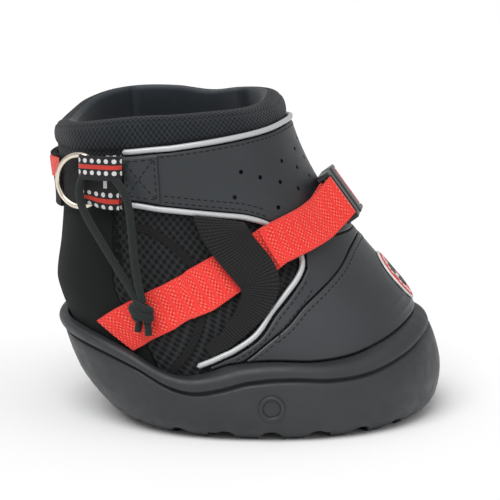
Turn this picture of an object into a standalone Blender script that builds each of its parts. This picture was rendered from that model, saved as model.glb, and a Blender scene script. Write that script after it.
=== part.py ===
# Horse hoof boot: a moulded rubber cup, a layered textile upper, a red front strap with a
# side release buckle, and a rear strap with a ring, a woven tab and a pull cord.
# Metres, +Z up, toe towards +X, the boot's left towards +Y, origin on the ground under the sole.

import math

import bmesh
import bpy
import numpy as np
from mathutils import Matrix, Vector

for old_object in list(bpy.data.objects):
    bpy.data.objects.remove(old_object, do_unlink=True)

# Overall sizes
boot_height = 0.150
front_reach = 0.082
back_reach = 0.103
half_width = 0.078

# Sole
sole_thickness = 0.010
groove_depth = 0.0018
bead_height = 0.0070
bead_overhang = 0.0008
cup_clearance = 0.0004
lug_pitch = 0.0205
lug_notch_radius = 0.0062
lug_notch_depth = 0.0046
lug_notch_reach = 0.016
channel_width = 0.005
channel_depth = 0.0035
channel_offset_x = 0.025
channel_offset_y = 0.022
side_ring_radius = 0.0060
side_ring_wire = 0.0011
insole_thickness = 0.004

# Upper layers, measured outwards from the outer face of the textile
fit_gap = 0.0003
seam_gap = 0.0004
textile_thickness = 0.0018
lining_thickness = 0.0024
leather_thickness = 0.0014
pad_thickness = 0.0085
pad_bulge = 0.0012
pad_seam_share = 0.716
base_drop = 0.0020
strap_split_share = 0.573
piping_radius = 0.0013

# Straps and buckle
strap_width = 0.0205
strap_thickness = 0.0014
band_width = 0.0195
band_thickness = 0.0011
buckle_width = 0.0255
buckle_thickness = 0.0074
socket_length = 0.0175
socket_wall = 0.0013
clip_length = 0.0150
buckle_bar = 0.0030
buckle_seat = 0.0016
slot_length = 0.0036
prong_length = 0.0088
prong_width = 0.0026

# Rear closure
ring_radius = 0.0130
ring_wire = 0.0013
tab_width = 0.024
tab_thickness = 0.0011
tab_length = 0.0185
rear_strap_width = 0.024
rear_strap_thickness = 0.0014
pull_tab_height = 0.009
pull_tab_length = 0.010
cord_diameter = 0.0036
knot_radius = 0.0055
badge_radius = 0.0145
badge_thickness = 0.0008

# Overrun of every cutter past the face it cuts, and how close points are merged
overrun = 0.002
merge_distance = 0.00001
ring_columns = 48
base_rows = 8

# Sections of the upper: height, front, back, half width and widest place, as shares of
# boot_height, front_reach, back_reach, half_width and back_reach
upper_section_shares = (
    (0.053, 0.854, 0.718, 0.846, 0.039),
    (0.133, 0.902, 0.816, 0.897, 0.078),
    (0.200, 0.896, 0.864, 0.904, 0.117),
    (0.267, 0.866, 0.900, 0.891, 0.175),
    (0.333, 0.821, 0.945, 0.863, 0.252),
    (0.387, 0.760, 0.976, 0.828, 0.320),
    (0.440, 0.677, 0.993, 0.801, 0.379),
    (0.560, 0.485, 0.971, 0.738, 0.427),
    (0.693, 0.296, 0.959, 0.724, 0.427),
    (0.833, 0.157, 0.981, 0.718, 0.437),
    (1.013, 0.043, 0.981, 0.641, 0.447),
)
# The same for the outside of the rubber cup
cup_section_shares = (
    (0.000, 0.860, 0.630, 0.885, -0.010),
    (0.020, 0.925, 0.715, 0.945, 0.000),
    (0.053, 0.975, 0.777, 0.985, 0.010),
    (0.133, 1.000, 0.874, 1.000, 0.029),
    (0.200, 0.980, 0.922, 0.994, 0.058),
    (0.267, 0.935, 0.956, 0.968, 0.117),
    (0.313, 0.880, 0.981, 0.936, 0.165),
    (0.360, 0.800, 0.985, 0.900, 0.210),
)
front_roundness = 2.1
back_roundness = 2.45

# Lines round the boot: angle from the toe in degrees and height as a share of boot_height
groove_line_shares = (
    (0, 0.275), (20, 0.258), (40, 0.220), (55, 0.192), (68, 0.183), (80, 0.190),
    (90, 0.184), (98, 0.158), (106, 0.145), (113, 0.160), (122, 0.208), (135, 0.246),
    (153, 0.268), (180, 0.275),
)
toe_seam_shares = (
    (0, 0.550), (11, 0.550), (25, 0.527), (39, 0.477), (52, 0.425), (61, 0.385),
    (70, 0.333), (79, 0.287), (88, 0.236), (100, 0.170),
)
lower_piping_shares = (
    (49.5, 0.547), (51, 0.513), (54.5, 0.480), (61, 0.437), (71, 0.377), (80, 0.313),
    (88.5, 0.270), (94, 0.243), (100, 0.222),
)
upper_piping_shares = (
    (49.5, 0.547), (51.5, 0.587), (57, 0.627), (64, 0.650), (72, 0.660), (82, 0.670),
    (92, 0.680), (104, 0.693), (150, 0.700),
)
top_piping_shares = (
    (0, 0.927), (20, 0.920), (40, 0.903), (60, 0.887), (80, 0.870), (94, 0.857),
    (109, 0.847), (150, 0.838),
)
pad_top_shares = (
    (-180, 0.887), (-150, 0.893), (-110, 0.927), (-80, 0.947), (-50, 0.967), (-20, 0.987),
    (0, 1.000), (20, 1.000), (50, 0.997), (80, 0.987), (110, 0.967), (140, 0.947),
    (160, 0.920), (180, 0.887),
)
# Strap centre line: angle, height share and how far it stands off as a share of strap_lift
strap_line_shares = (
    (126, 0.300, 0.0), (112, 0.345, 0.0), (95.5, 0.400, 0.0), (76, 0.493, 0.10),
    (65, 0.537, 0.25), (58, 0.567, 1.0), (41, 0.605, 1.0), (25, 0.637, 1.0), (8, 0.660, 1.0),
)
# Side band: angle, height share, width share and stand-off as a share of band_lift
band_line_shares = (
    (70, 0.626, 1.00, 1.00), (70, 0.600, 1.00, 1.00), (70, 0.540, 1.00, 0.95),
    (73.5, 0.477, 1.00, 0.80), (80.5, 0.420, 0.90, 0.62), (88, 0.350, 0.70, 0.54),
    (95, 0.300, 0.50, 0.20), (99, 0.266, 0.36, 0.0),
)

# Angles where panels start and end
lining_seam = 92.0
toe_puff_edge = 47.5
heel_panel_edge = 114.5
collar_band_edge_right = 107.0
collar_band_edge_left = 140.0
tail_edge = 59.5
strap_joint = 57.0
strap_joint_gap = 1.5
side_ring_angle = 88.0
side_ring_height_share = 0.107
badge_angle = -1.0
badge_height_share = 0.413

# Layer heights that follow from the thicknesses, and seams that follow the boot's height
pad_seam_height = pad_seam_share * boot_height
strap_split_height = strap_split_share * boot_height
leather_low = 0.5 * fit_gap
leather_top = leather_low + leather_thickness
textile_top = -fit_gap
lining_top = textile_top - textile_thickness - 1.5 * fit_gap
piping_centre = leather_low + piping_radius
piping_top = piping_centre + piping_radius
strap_low = fit_gap
strap_lift = piping_top + fit_gap - strap_low
band_low = fit_gap
band_lift = strap_low + strap_lift + strap_thickness + fit_gap - band_low

# Places along the buckle, measured from its middle towards the socket
buckle_angle = -5.0
socket_start = -0.2 * socket_length
socket_end = socket_start + socket_length
socket_bar = socket_end - buckle_bar / 2
slot_start = socket_end - buckle_bar - slot_length
pocket_end = slot_start - socket_wall
clip_start = socket_start - fit_gap
clip_end = clip_start - clip_length
clip_bar = clip_end + buckle_bar / 2
clip_slot = clip_end + buckle_bar + slot_length
strap_leaves_left = 15.0
strap_leaves_right = 30.0
strap_heel_slant = 0.70

# Places of the rear closure
tab_angle = -117.5
tab_height_share = 0.760
tab_low = 2 * fit_gap
tab_fold_middle = tab_low + tab_thickness + fit_gap + ring_wire
tab_fold_radius = ring_wire + fit_gap + tab_thickness / 2
tab_face = tab_fold_middle + tab_fold_radius + tab_thickness / 2
cord_level = tab_face + cord_diameter
cord_exit = -fit_gap
cord_hinge = cord_exit + cord_diameter / 2 + fit_gap
rear_strap_share = 0.745
near_strap_start = 134.0
near_strap_end = 172.0
far_strap_end = 208.0
patch_span = 14.0
patch_inset = 0.0008

collection = bpy.data.collections.new("horse_hoof_boot")
bpy.context.scene.collection.children.link(collection)
cutters = bpy.data.collections.new("cutters")
bpy.context.scene.collection.children.link(cutters)
materials = {}


def finish(name, colour, roughness, metallic=0.0):
    """A plain Principled material."""
    material = bpy.data.materials.new(name)
    material.use_nodes = True
    shader = material.node_tree.nodes["Principled BSDF"]
    shader.inputs["Base Color"].default_value = (*colour, 1.0)
    shader.inputs["Roughness"].default_value = roughness
    shader.inputs["Metallic"].default_value = metallic
    materials[name] = material


finish("sole_rubber", (0.045, 0.048, 0.052), 0.62)
finish("insole_foam", (0.06, 0.06, 0.065), 0.9)
finish("lining_textile", (0.022, 0.025, 0.03), 0.95)
finish("toe_stiffener", (0.05, 0.05, 0.05), 0.8)
finish("side_mesh", (0.016, 0.016, 0.018), 0.9)
finish("heel_textile", (0.018, 0.019, 0.02), 0.8)
finish("toe_cap_leather", (0.05, 0.054, 0.058), 0.45)
finish("collar_leather", (0.05, 0.054, 0.06), 0.5)
finish("collar_mesh", (0.03, 0.033, 0.037), 0.92)
finish("silver_piping", (0.55, 0.56, 0.57), 0.4)
finish("badge_white", (0.8, 0.8, 0.8), 0.5)
finish("badge_red", (0.7, 0.06, 0.04), 0.5)
finish("black_webbing", (0.012, 0.012, 0.013), 0.85)
finish("red_webbing", (0.8, 0.035, 0.025), 0.7)
finish("buckle_plastic", (0.015, 0.016, 0.018), 0.35)
finish("woven_tape", (0.03, 0.02, 0.02), 0.8)
finish("ring_metal", (0.8, 0.72, 0.6), 0.2, 1.0)
finish("cord_elastic", (0.025, 0.03, 0.03), 0.85)


def smooth_value(table, position, column=1):
    """Reads a table on a smooth curve through its rows, with flat ends."""
    places = [row[0] for row in table]
    values = [row[column] for row in table]
    if position <= places[0]:
        return values[0]
    if position >= places[-1]:
        return values[-1]
    row = int(np.searchsorted(places, position, side="right")) - 1
    slopes = []
    for at in (row, row + 1):
        before = max(at - 1, 0)
        after = min(at + 1, len(places) - 1)
        slopes.append((values[after] - values[before]) / (places[after] - places[before]))
    span = places[row + 1] - places[row]
    t = (position - places[row]) / span
    return (values[row] * (1 + 2 * t) * (1 - t) ** 2 + slopes[0] * span * t * (1 - t) ** 2
            + values[row + 1] * t * t * (3 - 2 * t) - slopes[1] * span * t * t * (1 - t))


def line_height(table, angle):
    """Height of a line round the boot at an angle on either side."""
    return boot_height * smooth_value(table, abs(angle))


def pad_top_height(angle):
    """Height of the collar's upper edge, which differs from side to side."""
    wrapped = (angle + 180.0) % 360.0 - 180.0
    return boot_height * smooth_value(pad_top_shares, wrapped)


def section_point(sections, angle, height):
    """Point on a stacked-section surface: a rounded section at each height."""
    share = height / boot_height
    front = front_reach * smooth_value(sections, share, 1)
    back = -back_reach * smooth_value(sections, share, 2)
    half = half_width * smooth_value(sections, share, 3)
    widest = -back_reach * smooth_value(sections, share, 4)
    turn = math.radians(angle)
    cosine, sine = math.cos(turn), math.sin(turn)
    roundness = front_roundness if cosine > 0 else back_roundness
    reach = front - widest if cosine > 0 else widest - back
    return Vector((
        widest + math.copysign(abs(cosine) ** (2 / roundness), cosine) * reach,
        math.copysign(abs(sine) ** (2 / roundness), sine) * half,
        height,
    ))


def surface_frame(sections, angle, height):
    """Point, the two tangents per degree and per metre of height, and the outward normal."""
    angle_step = 0.5
    height_step = boot_height / 300
    point = section_point(sections, angle, height)
    along = (section_point(sections, angle + angle_step, height)
             - section_point(sections, angle - angle_step, height)) / (2 * angle_step)
    up = (section_point(sections, angle, height + height_step)
          - section_point(sections, angle, height - height_step)) / (2 * height_step)
    normal = along.cross(up).normalized()
    return point, along, up, normal


def layer_point(angle, height, offset):
    """Point at a distance outwards from the upper's surface."""
    point, along, up, normal = surface_frame(upper_section_shares, angle, height)
    return point + normal * offset


def level_point(sections, angle, height, offset):
    """The same with the offset kept level, so that the height stays exact."""
    point, along, up, normal = surface_frame(sections, angle, height)
    level = Vector((normal.x, normal.y, 0.0)).normalized()
    return point + level * offset


def beside(table, angle, distance):
    """Height of a line moved square to itself by a distance, up or down."""
    step = 1.0
    rise = line_height(table, angle + step) - line_height(table, angle - step)
    height = line_height(table, angle)
    run = (layer_point(angle + step, height, 0.0) - layer_point(angle - step, height, 0.0)).length
    return height + distance * math.sqrt(1.0 + (rise / run) ** 2)


def step_on_surface(angle, height, sideways, upwards):
    """Angle and height after a small move over the surface."""
    point, along, up, normal = surface_frame(upper_section_shares, angle, height)
    return angle + sideways / along.length, height + upwards / up.length


def add_object(name, mesh, material):
    """Puts a mesh in the boot's collection with its material."""
    obj = bpy.data.objects.new(name, mesh)
    collection.objects.link(obj)
    mesh.materials.append(materials[material])
    mesh.shade_smooth()
    mesh.set_sharp_from_angle(angle=math.radians(40))
    return obj


def grid_mesh(name, rows, wrap_columns=False, wrap_rows=False, cap_ends=False):
    """A surface through rows of points, each row running the same way."""
    mesh = bpy.data.meshes.new(name)
    shape = bmesh.new()
    verts = [[shape.verts.new(point) for point in row] for row in rows]
    row_count, column_count = len(rows), len(rows[0])
    for i in range(row_count if wrap_rows else row_count - 1):
        for j in range(column_count if wrap_columns else column_count - 1):
            low, high = verts[i], verts[(i + 1) % row_count]
            k = (j + 1) % column_count
            shape.faces.new((low[j], low[k], high[k], high[j]))
    if cap_ends:
        shape.faces.new(list(reversed(verts[0])))
        shape.faces.new(verts[-1])
    shape.to_mesh(mesh)
    shape.free()
    return mesh


def shell(name, rows, thickness, material, wrap_columns=False):
    """A thin layer: an open surface thickened outwards."""
    obj = add_object(name, grid_mesh(name, rows, wrap_columns), material)
    solidify = obj.modifiers.new("thickness", "SOLIDIFY")
    solidify.thickness = thickness
    solidify.offset = 1.0
    solidify.use_even_offset = True
    return obj


def grid_angles(start, stop, extra=()):
    """Angles between two ends, on the columns that all layers share, with extra ones put in."""
    step = 360.0 / ring_columns
    fixed = sorted({start, stop, *extra})
    columns = [k * step for k in range(math.ceil(start / step), math.floor(stop / step) + 1)]
    kept = [a for a in columns if all(abs(a - other) > 0.2 * step for other in fixed)]
    return sorted(fixed + kept)


def panel(name, angles, low, high, row_count, offset, thickness, material, wrap=False):
    """A layer of the upper between two lines."""
    rows = []
    for i in range(row_count):
        share = i / (row_count - 1)
        row = []
        for angle in angles:
            bottom, top = low(angle), high(angle)
            row.append(layer_point(angle, bottom + (top - bottom) * share, offset))
        rows.append(row)
    return shell(name, rows, thickness, material, wrap)


def path_between(table, start, stop, count):
    """Rows of a table read on its smooth curve, from one place to another."""
    columns = range(1, len(table[0]))
    return [[at] + [smooth_value(table, at, column) for column in columns]
            for at in np.linspace(start, stop, count)]


def ribbon_rows(path, width, across=5, slant_start=0.0, slant_stop=0.0):
    """Rows of points across a strap that lies on the boot.

    A path row is angle, height and offset, with a width share at its end."""
    rows = []
    count = len(path)
    for i, (angle, height, offset, width_share) in enumerate(path):
        before, after = path[max(i - 1, 0)], path[min(i + 1, count - 1)]
        point, along, up, normal = surface_frame(upper_section_shares, angle, height)
        ahead = Vector(((after[0] - before[0]) * along.length, (after[1] - before[1]) * up.length))
        ahead.normalize()
        slant = slant_start * max(0.0, 1 - 4 * i / (count - 1))
        slant += slant_stop * max(0.0, 1 - 4 * (count - 1 - i) / (count - 1))
        row = []
        for j in range(across):
            side = (j / (across - 1) - 0.5) * width * width_share
            sideways = -ahead.y * side + ahead.x * slant * side
            upwards = ahead.x * side + ahead.y * slant * side
            row.append(layer_point(*step_on_surface(angle, height, sideways, upwards), offset))
        rows.append(row)
    return rows


def facing_out(rows):
    """Turns rows round where their surface would face the boot."""
    a, b, c = rows[0][0], rows[0][-1], rows[1][0]
    normal = (b - a).cross(c - a)
    centre = Vector((-0.5 * (back_reach - front_reach), 0.0, a.z))
    if normal.dot(a - centre) < 0:
        return [list(reversed(row)) for row in rows]
    return rows


def tube(name, points, radius, material, resolution=1):
    """A round piece along a line, with closed ends."""
    curve = bpy.data.curves.new(name, "CURVE")
    curve.dimensions = "3D"
    spline = curve.splines.new("POLY")
    spline.points.add(len(points) - 1)
    for place, point in zip(spline.points, points):
        place.co = (*point, 1.0)
    curve.bevel_depth = radius
    curve.bevel_resolution = resolution
    curve.use_fill_caps = True
    obj = bpy.data.objects.new(name, curve)
    collection.objects.link(obj)
    curve.materials.append(materials[material])
    return obj


def as_mesh(obj):
    """Turns a curve object, or one with modifiers, into a plain mesh object."""
    graph = bpy.context.evaluated_depsgraph_get()
    mesh = bpy.data.meshes.new_from_object(obj.evaluated_get(graph))
    shape = bmesh.new()
    shape.from_mesh(mesh)
    bmesh.ops.remove_doubles(shape, verts=shape.verts, dist=merge_distance)
    shape.to_mesh(mesh)
    shape.free()
    name, matrix = obj.name, obj.matrix_world.copy()
    bpy.data.objects.remove(obj, do_unlink=True)
    plain = bpy.data.objects.new(name, mesh)
    plain.matrix_world = matrix
    collection.objects.link(plain)
    return plain


def as_cutter(obj):
    """Moves an object to the cutters, out of sight."""
    for owner in list(obj.users_collection):
        owner.objects.unlink(obj)
    cutters.objects.link(obj)
    obj.hide_render = True
    obj.display_type = "WIRE"
    return obj


def combine(target, tool, operation):
    """Adds a Boolean modifier with another object."""
    modifier = target.modifiers.new(operation.lower(), "BOOLEAN")
    modifier.operation = operation
    modifier.solver = "EXACT"
    modifier.object = as_cutter(tool)


def block(name, low, high, matrix, material="buckle_plastic"):
    """A box between two corners of a local frame."""
    bpy.ops.mesh.primitive_cube_add(size=1.0)
    obj = bpy.context.object
    for owner in list(obj.users_collection):
        owner.objects.unlink(obj)
    collection.objects.link(obj)
    obj.name = name
    low, high = Vector(low), Vector(high)
    size = high - low
    obj.data.transform(matrix @ Matrix.Translation((low + high) / 2) @ Matrix.Diagonal((*size, 1)))
    obj.data.materials.append(materials[material])
    return obj


def bevel(obj, width, segments=2):
    """Rounded edges."""
    modifier = obj.modifiers.new("round", "BEVEL")
    modifier.width = width
    modifier.segments = segments
    modifier.limit_method = "ANGLE"
    modifier.angle_limit = math.radians(40)


def set_origin(obj, origin):
    """Moves an object's origin to a place in the world without moving its shape."""
    local = obj.matrix_world.inverted() @ Vector(origin)
    obj.data.transform(Matrix.Translation(-local))
    obj.matrix_world = obj.matrix_world @ Matrix.Translation(local)


def rim_height(angle):
    """Top of the rubber bead at an angle."""
    return line_height(groove_line_shares, angle) + bead_height


# Sole unit

def make_outsole():
    """The rubber cup, from the ground up the side, over the bead and down inside."""
    angles = np.linspace(-180.0, 180.0, ring_columns, endpoint=False)
    cup, upper = cup_section_shares, upper_section_shares

    def ring(height, offset=0.0, sections=cup):
        return [level_point(sections, angle, height(angle), offset) for angle in angles]

    def groove(angle):
        return line_height(groove_line_shares, angle)

    edge_height = cup_section_shares[1][0] * boot_height
    side_height = cup_section_shares[2][0] * boot_height
    wall_top = groove_depth
    rings = [
        ring(lambda angle: 0.0),
        ring(lambda angle: edge_height),
        ring(lambda angle: side_height),
        ring(lambda angle: side_height + 0.5 * (groove(angle) - wall_top - side_height)),
        ring(lambda angle: groove(angle) - wall_top),
        ring(lambda angle: groove(angle) - 0.3 * wall_top, -groove_depth),
        ring(lambda angle: groove(angle) + 0.3 * wall_top, -groove_depth),
        ring(lambda angle: groove(angle) + 0.2 * bead_height, bead_overhang),
        ring(lambda angle: groove(angle) + 0.6 * bead_height, bead_overhang),
        ring(lambda angle: groove(angle) + 0.9 * bead_height, -bead_overhang),
        ring(rim_height, cup_clearance, upper),
    ]
    inner_rows = 6
    for i in range(1, inner_rows + 1):
        share = i / inner_rows
        rings.append(ring(
            lambda angle, share=share: rim_height(angle) + (sole_thickness - rim_height(angle)) * share,
            cup_clearance, upper))
    sole = add_object("outsole", grid_mesh("outsole", rings, wrap_columns=True, cap_ends=True),
                      "sole_rubber")
    combine(sole, make_notches(), "DIFFERENCE")
    for lengthways in (False, True):
        combine(sole, make_channels(lengthways), "DIFFERENCE")
    for side in (-1, 1):
        combine(sole, make_side_ring(side), "UNION")
    return sole


def make_notches():
    """Scallops round the sole's lower edge that leave the tread lugs."""
    angles = np.linspace(-180.0, 180.0, 720, endpoint=False)
    edge = [section_point(cup_section_shares, angle, 0.0) for angle in angles]
    lengths = [0.0]
    for a, b in zip(edge, edge[1:] + edge[:1]):
        lengths.append(lengths[-1] + (b - a).length)
    count = 2 * max(4, round(lengths[-1] / lug_pitch / 2))
    shape = bmesh.new()
    for i in range(count):
        at = (i + 0.5) * lengths[-1] / count
        index = int(np.searchsorted(lengths, at)) % len(edge)
        point, along, up, normal = surface_frame(cup_section_shares, angles[index], 0.0)
        level = Vector((normal.x, normal.y, 0.0)).normalized()
        reach = lug_notch_reach + 0.5 * half_width
        centre = point + level * (0.5 * reach - lug_notch_reach)
        centre.z = lug_notch_depth - lug_notch_radius
        turn = Vector((0, 0, 1)).rotation_difference(level).to_matrix().to_4x4()
        bmesh.ops.create_cone(shape, cap_ends=True, segments=12, radius1=lug_notch_radius,
                              radius2=lug_notch_radius, depth=reach,
                              matrix=Matrix.Translation(centre) @ turn)
    mesh = bpy.data.meshes.new("notch_cutter")
    shape.to_mesh(mesh)
    shape.free()
    obj = bpy.data.objects.new("notch_cutter", mesh)
    collection.objects.link(obj)
    return obj


def make_channels(lengthways):
    """A pair of straight tread channels under the sole, along it or across it."""
    shape = bmesh.new()
    for sign in (-1, 1):
        if lengthways:
            centre = (0, sign * channel_offset_y, 0)
            size = (2 * (front_reach + back_reach), channel_width, 2 * channel_depth)
        else:
            centre = (sign * channel_offset_x, 0, 0)
            size = (channel_width, 4 * half_width, 2 * channel_depth)
        matrix = Matrix.Translation(centre) @ Matrix.Diagonal((*size, 1))
        bmesh.ops.create_cube(shape, size=1.0, matrix=matrix)
    mesh = bpy.data.meshes.new("channel_cutter")
    shape.to_mesh(mesh)
    shape.free()
    obj = bpy.data.objects.new("channel_cutter", mesh)
    collection.objects.link(obj)
    return obj


def make_side_ring(side):
    """The moulded ring on the side of the sole."""
    height = side_ring_height_share * boot_height
    point, along, up, normal = surface_frame(cup_section_shares, side * side_ring_angle, height)
    turn = Vector((0, 0, 1)).rotation_difference(normal).to_matrix().to_4x4()
    bpy.ops.mesh.primitive_torus_add(major_radius=side_ring_radius - side_ring_wire,
                                     minor_radius=side_ring_wire, major_segments=20, minor_segments=6)
    obj = bpy.context.object
    obj.name = "side_ring"
    obj.data.transform(Matrix.Translation(point) @ turn)
    return obj


def make_insole():
    """The footbed lies on the sole inside the lining."""
    offset = lining_top - lining_thickness - seam_gap
    low = sole_thickness + fit_gap
    curve = bpy.data.curves.new("insole", "CURVE")
    curve.dimensions = "2D"
    curve.fill_mode = "BOTH"
    curve.extrude = insole_thickness / 2
    spline = curve.splines.new("POLY")
    angles = np.linspace(-180.0, 180.0, ring_columns // 2, endpoint=False)
    spline.points.add(len(angles) - 1)
    for place, angle in zip(spline.points, angles):
        edge = level_point(upper_section_shares, angle, low, offset - seam_gap)
        place.co = (edge.x, edge.y, 0.0, 1.0)
    spline.use_cyclic_u = True
    obj = bpy.data.objects.new("insole", curve)
    collection.objects.link(obj)
    curve.materials.append(materials["insole_foam"])
    obj.location = (0, 0, low + insole_thickness / 2)
    return obj


# Upper

def make_lining():
    """The padded bootie inside everything else, sewn from a front and a heel half."""
    top = pad_seam_height - base_drop
    half_gap = 0.15
    for name, start, stop in (("front", -lining_seam + half_gap, lining_seam - half_gap),
                              ("heel", lining_seam + half_gap, 360.0 - lining_seam - half_gap)):
        panel("inner_bootie_" + name, grid_angles(start, stop), lambda a: sole_thickness + fit_gap,
              lambda a: top, base_rows, lining_top - lining_thickness, lining_thickness,
              "lining_textile")


def make_textiles():
    """Toe stiffener, mesh sides and heel panel: one layer round the lining."""
    low = sole_thickness + fit_gap
    top = pad_seam_height - base_drop
    offset = textile_top - textile_thickness
    half_gap = 0.35

    def layer(name, start, stop, material):
        panel(name, grid_angles(start, stop), lambda a: low, lambda a: top, base_rows,
              offset, textile_thickness, material)

    layer("toe_puff", -toe_puff_edge + half_gap, toe_puff_edge - half_gap, "toe_stiffener")
    for side, name in ((-1, "right"), (1, "left")):
        ends = sorted((side * (toe_puff_edge + half_gap), side * (heel_panel_edge - half_gap)))
        layer("quarter_mesh_" + name, *ends, "side_mesh")
    layer("heel_panel", heel_panel_edge + half_gap, 360 - heel_panel_edge - half_gap, "heel_textile")


def make_overlays():
    """Toe cap, the strip behind it and the collar's leather band."""
    clear = piping_radius + seam_gap
    apex = lower_piping_shares[0][0]
    front = apex - 4.0
    behind = apex + 1.5

    def rim(angle):
        return rim_height(angle) + seam_gap

    def seam(angle):
        return line_height(toe_seam_shares, angle)

    def vamp_top(angle):
        a = abs(angle)
        if a <= front:
            return strap_split_height - seam_gap / 2
        start = strap_split_height - seam_gap / 2
        stop = beside(lower_piping_shares, behind, -clear)
        if a < behind:
            return start + (stop - start) * (a - front) / (behind - front)
        return beside(lower_piping_shares, a, -clear)

    def collar_low(angle):
        a = abs(angle)
        start = strap_split_height + seam_gap / 2
        if a <= front:
            return start
        stop = beside(upper_piping_shares, behind, clear)
        if a < behind:
            return start + (stop - start) * (a - front) / (behind - front)
        return beside(upper_piping_shares, a, clear)

    def vamp_low(angle):
        return max(seam(angle) + seam_gap / 2, rim(angle))

    def collar_high(angle):
        return beside(top_piping_shares, angle, -clear)

    least = 2 * seam_gap
    cap_edge = max(a for a in np.linspace(40, 100, 121) if seam(a) - rim(a) > least)
    vamp_edge = max(a for a in np.linspace(60, 96, 73) if vamp_top(a) - vamp_low(a) > least)
    bends = (front, behind, behind + 4.5, behind + 12.5)
    corners = tuple(-a for a in bends) + bends
    panel("toe_cap", grid_angles(-cap_edge, cap_edge), rim, lambda a: seam(a) - seam_gap / 2, 6,
          leather_low, leather_thickness, "toe_cap_leather")
    panel("vamp_panel", grid_angles(-vamp_edge, vamp_edge, corners),
          vamp_low, vamp_top, 4, leather_low, leather_thickness, "collar_leather")
    panel("collar_band", grid_angles(-collar_band_edge_right, collar_band_edge_left, corners),
          collar_low, collar_high, 5, leather_low, leather_thickness, "collar_leather")


def make_collar_pad():
    """The padded roll round the mouth: a closed section carried round the boot."""
    inner = textile_top - pad_thickness
    middle = textile_top - 0.5 * pad_thickness
    shoulder = 0.30 * pad_thickness
    rise = 0.6 * pad_thickness
    rows = []
    for angle in np.linspace(-180.0, 180.0, ring_columns, endpoint=False):
        top = pad_top_height(angle)
        pipe = line_height(top_piping_shares, angle)
        bulge_low = max(pipe + piping_radius + seam_gap, pad_seam_height + shoulder)
        bulge_mid = 0.5 * (bulge_low + top - shoulder)
        section = (
            (pad_seam_height, textile_top), (0.5 * (pad_seam_height + bulge_low), textile_top),
            (bulge_low, textile_top),
            (bulge_mid, textile_top + pad_bulge), (top - shoulder, textile_top - 0.3 * pad_bulge),
            (top, middle), (top - shoulder, inner + 0.05 * pad_thickness),
            (top - rise - shoulder, inner), (pad_seam_height, inner),
        )
        rows.append([level_point(upper_section_shares, angle, height, offset)
                     for height, offset in reversed(section)])
    obj = add_object("collar_pad", grid_mesh("collar_pad", rows, wrap_columns=True, wrap_rows=True),
                     "collar_mesh")
    return obj


def make_pipings():
    """Reflective piping along the leather's edges."""
    start, stop = -collar_band_edge_right, collar_band_edge_left
    points = [layer_point(a, line_height(top_piping_shares, a), piping_centre)
              for a in np.linspace(start, stop, 38)]
    tube("top_piping", points, piping_radius, "silver_piping")
    apex = upper_piping_shares[0][0]
    for side, name in ((-1, "right"), (1, "left")):
        edge = collar_band_edge_right if side < 0 else collar_band_edge_left
        lower_end = max(
            a for a in np.linspace(60, 100, 81)
            if line_height(lower_piping_shares, a) > rim_height(a) + piping_radius + seam_gap)
        upper = [(a, line_height(upper_piping_shares, a)) for a in
                 [edge + (apex + 2 - edge) * i / 12 for i in range(13)]]
        lower = [(a, line_height(lower_piping_shares, a)) for a in
                 [apex + 2 + (lower_end - apex - 2) * i / 13 for i in range(14)]]
        turn = [(apex, line_height(upper_piping_shares, apex))]
        points = [layer_point(side * a, h, piping_centre) for a, h in upper + turn + lower]
        tube("side_piping_" + name, points, piping_radius, "silver_piping")


def disc_rows(angle, height, radii, offset):
    """Rings of points of a round patch that follows the surface."""
    rows = []
    for radius in radii:
        row = []
        for turn in np.linspace(0.0, 2 * math.pi, 24, endpoint=False):
            place = step_on_surface(angle, height, radius * math.cos(turn), radius * math.sin(turn))
            row.append(layer_point(*place, offset))
        rows.append(row)
    return rows


def make_badge():
    """A round badge on the toe with a raised rim and a plain middle."""
    height = badge_height_share * boot_height
    low = leather_top + fit_gap
    core = 0.08 * badge_radius
    rows = disc_rows(badge_angle, height, (badge_radius, 0.5 * badge_radius, core), low)
    mesh = grid_mesh("badge_base", rows, wrap_columns=True)
    shape = bmesh.new()
    shape.from_mesh(mesh)
    bmesh.ops.holes_fill(shape, edges=[e for e in shape.edges if e.is_boundary and
                                       all((v.co - rows[-1][0]).length < 3 * core for v in e.verts)])
    shape.to_mesh(mesh)
    shape.free()
    base = add_object("badge_base", mesh, "badge_white")
    solidify = base.modifiers.new("thickness", "SOLIDIFY")
    solidify.thickness = badge_thickness
    solidify.offset = 1.0
    rows = disc_rows(badge_angle, height, (0.9 * badge_radius, 0.62 * badge_radius),
                     low + badge_thickness + fit_gap)
    shell("badge_ring", rows, badge_thickness, "badge_red", wrap_columns=True)


# Straps and buckle

def strap_path(side, start, stop, count, raise_by=0.0):
    """Rows of the strap's centre line as angle, height, offset and width share."""
    reverse = [(-row[0], *row[1:]) for row in reversed(strap_line_shares)]
    reverse.sort()
    rows = path_between(reverse, -start, -stop, count)
    return [(-side * at, share * boot_height, strap_low + lift * strap_lift + raise_by, 1.0)
            for at, share, lift in rows]


def buckle_frame():
    """Local frame of the buckle: along the strap to the left, up the front, and outwards."""
    height = strap_line_shares[-1][1] * boot_height
    point, along, up, normal = surface_frame(upper_section_shares, buckle_angle, height)
    ahead = along.normalized()
    across = normal.cross(ahead).normalized()
    frame = Matrix((ahead, across, normal)).transposed().to_4x4()
    frame.translation = point + normal * (leather_top + buckle_seat)
    return frame


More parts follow.
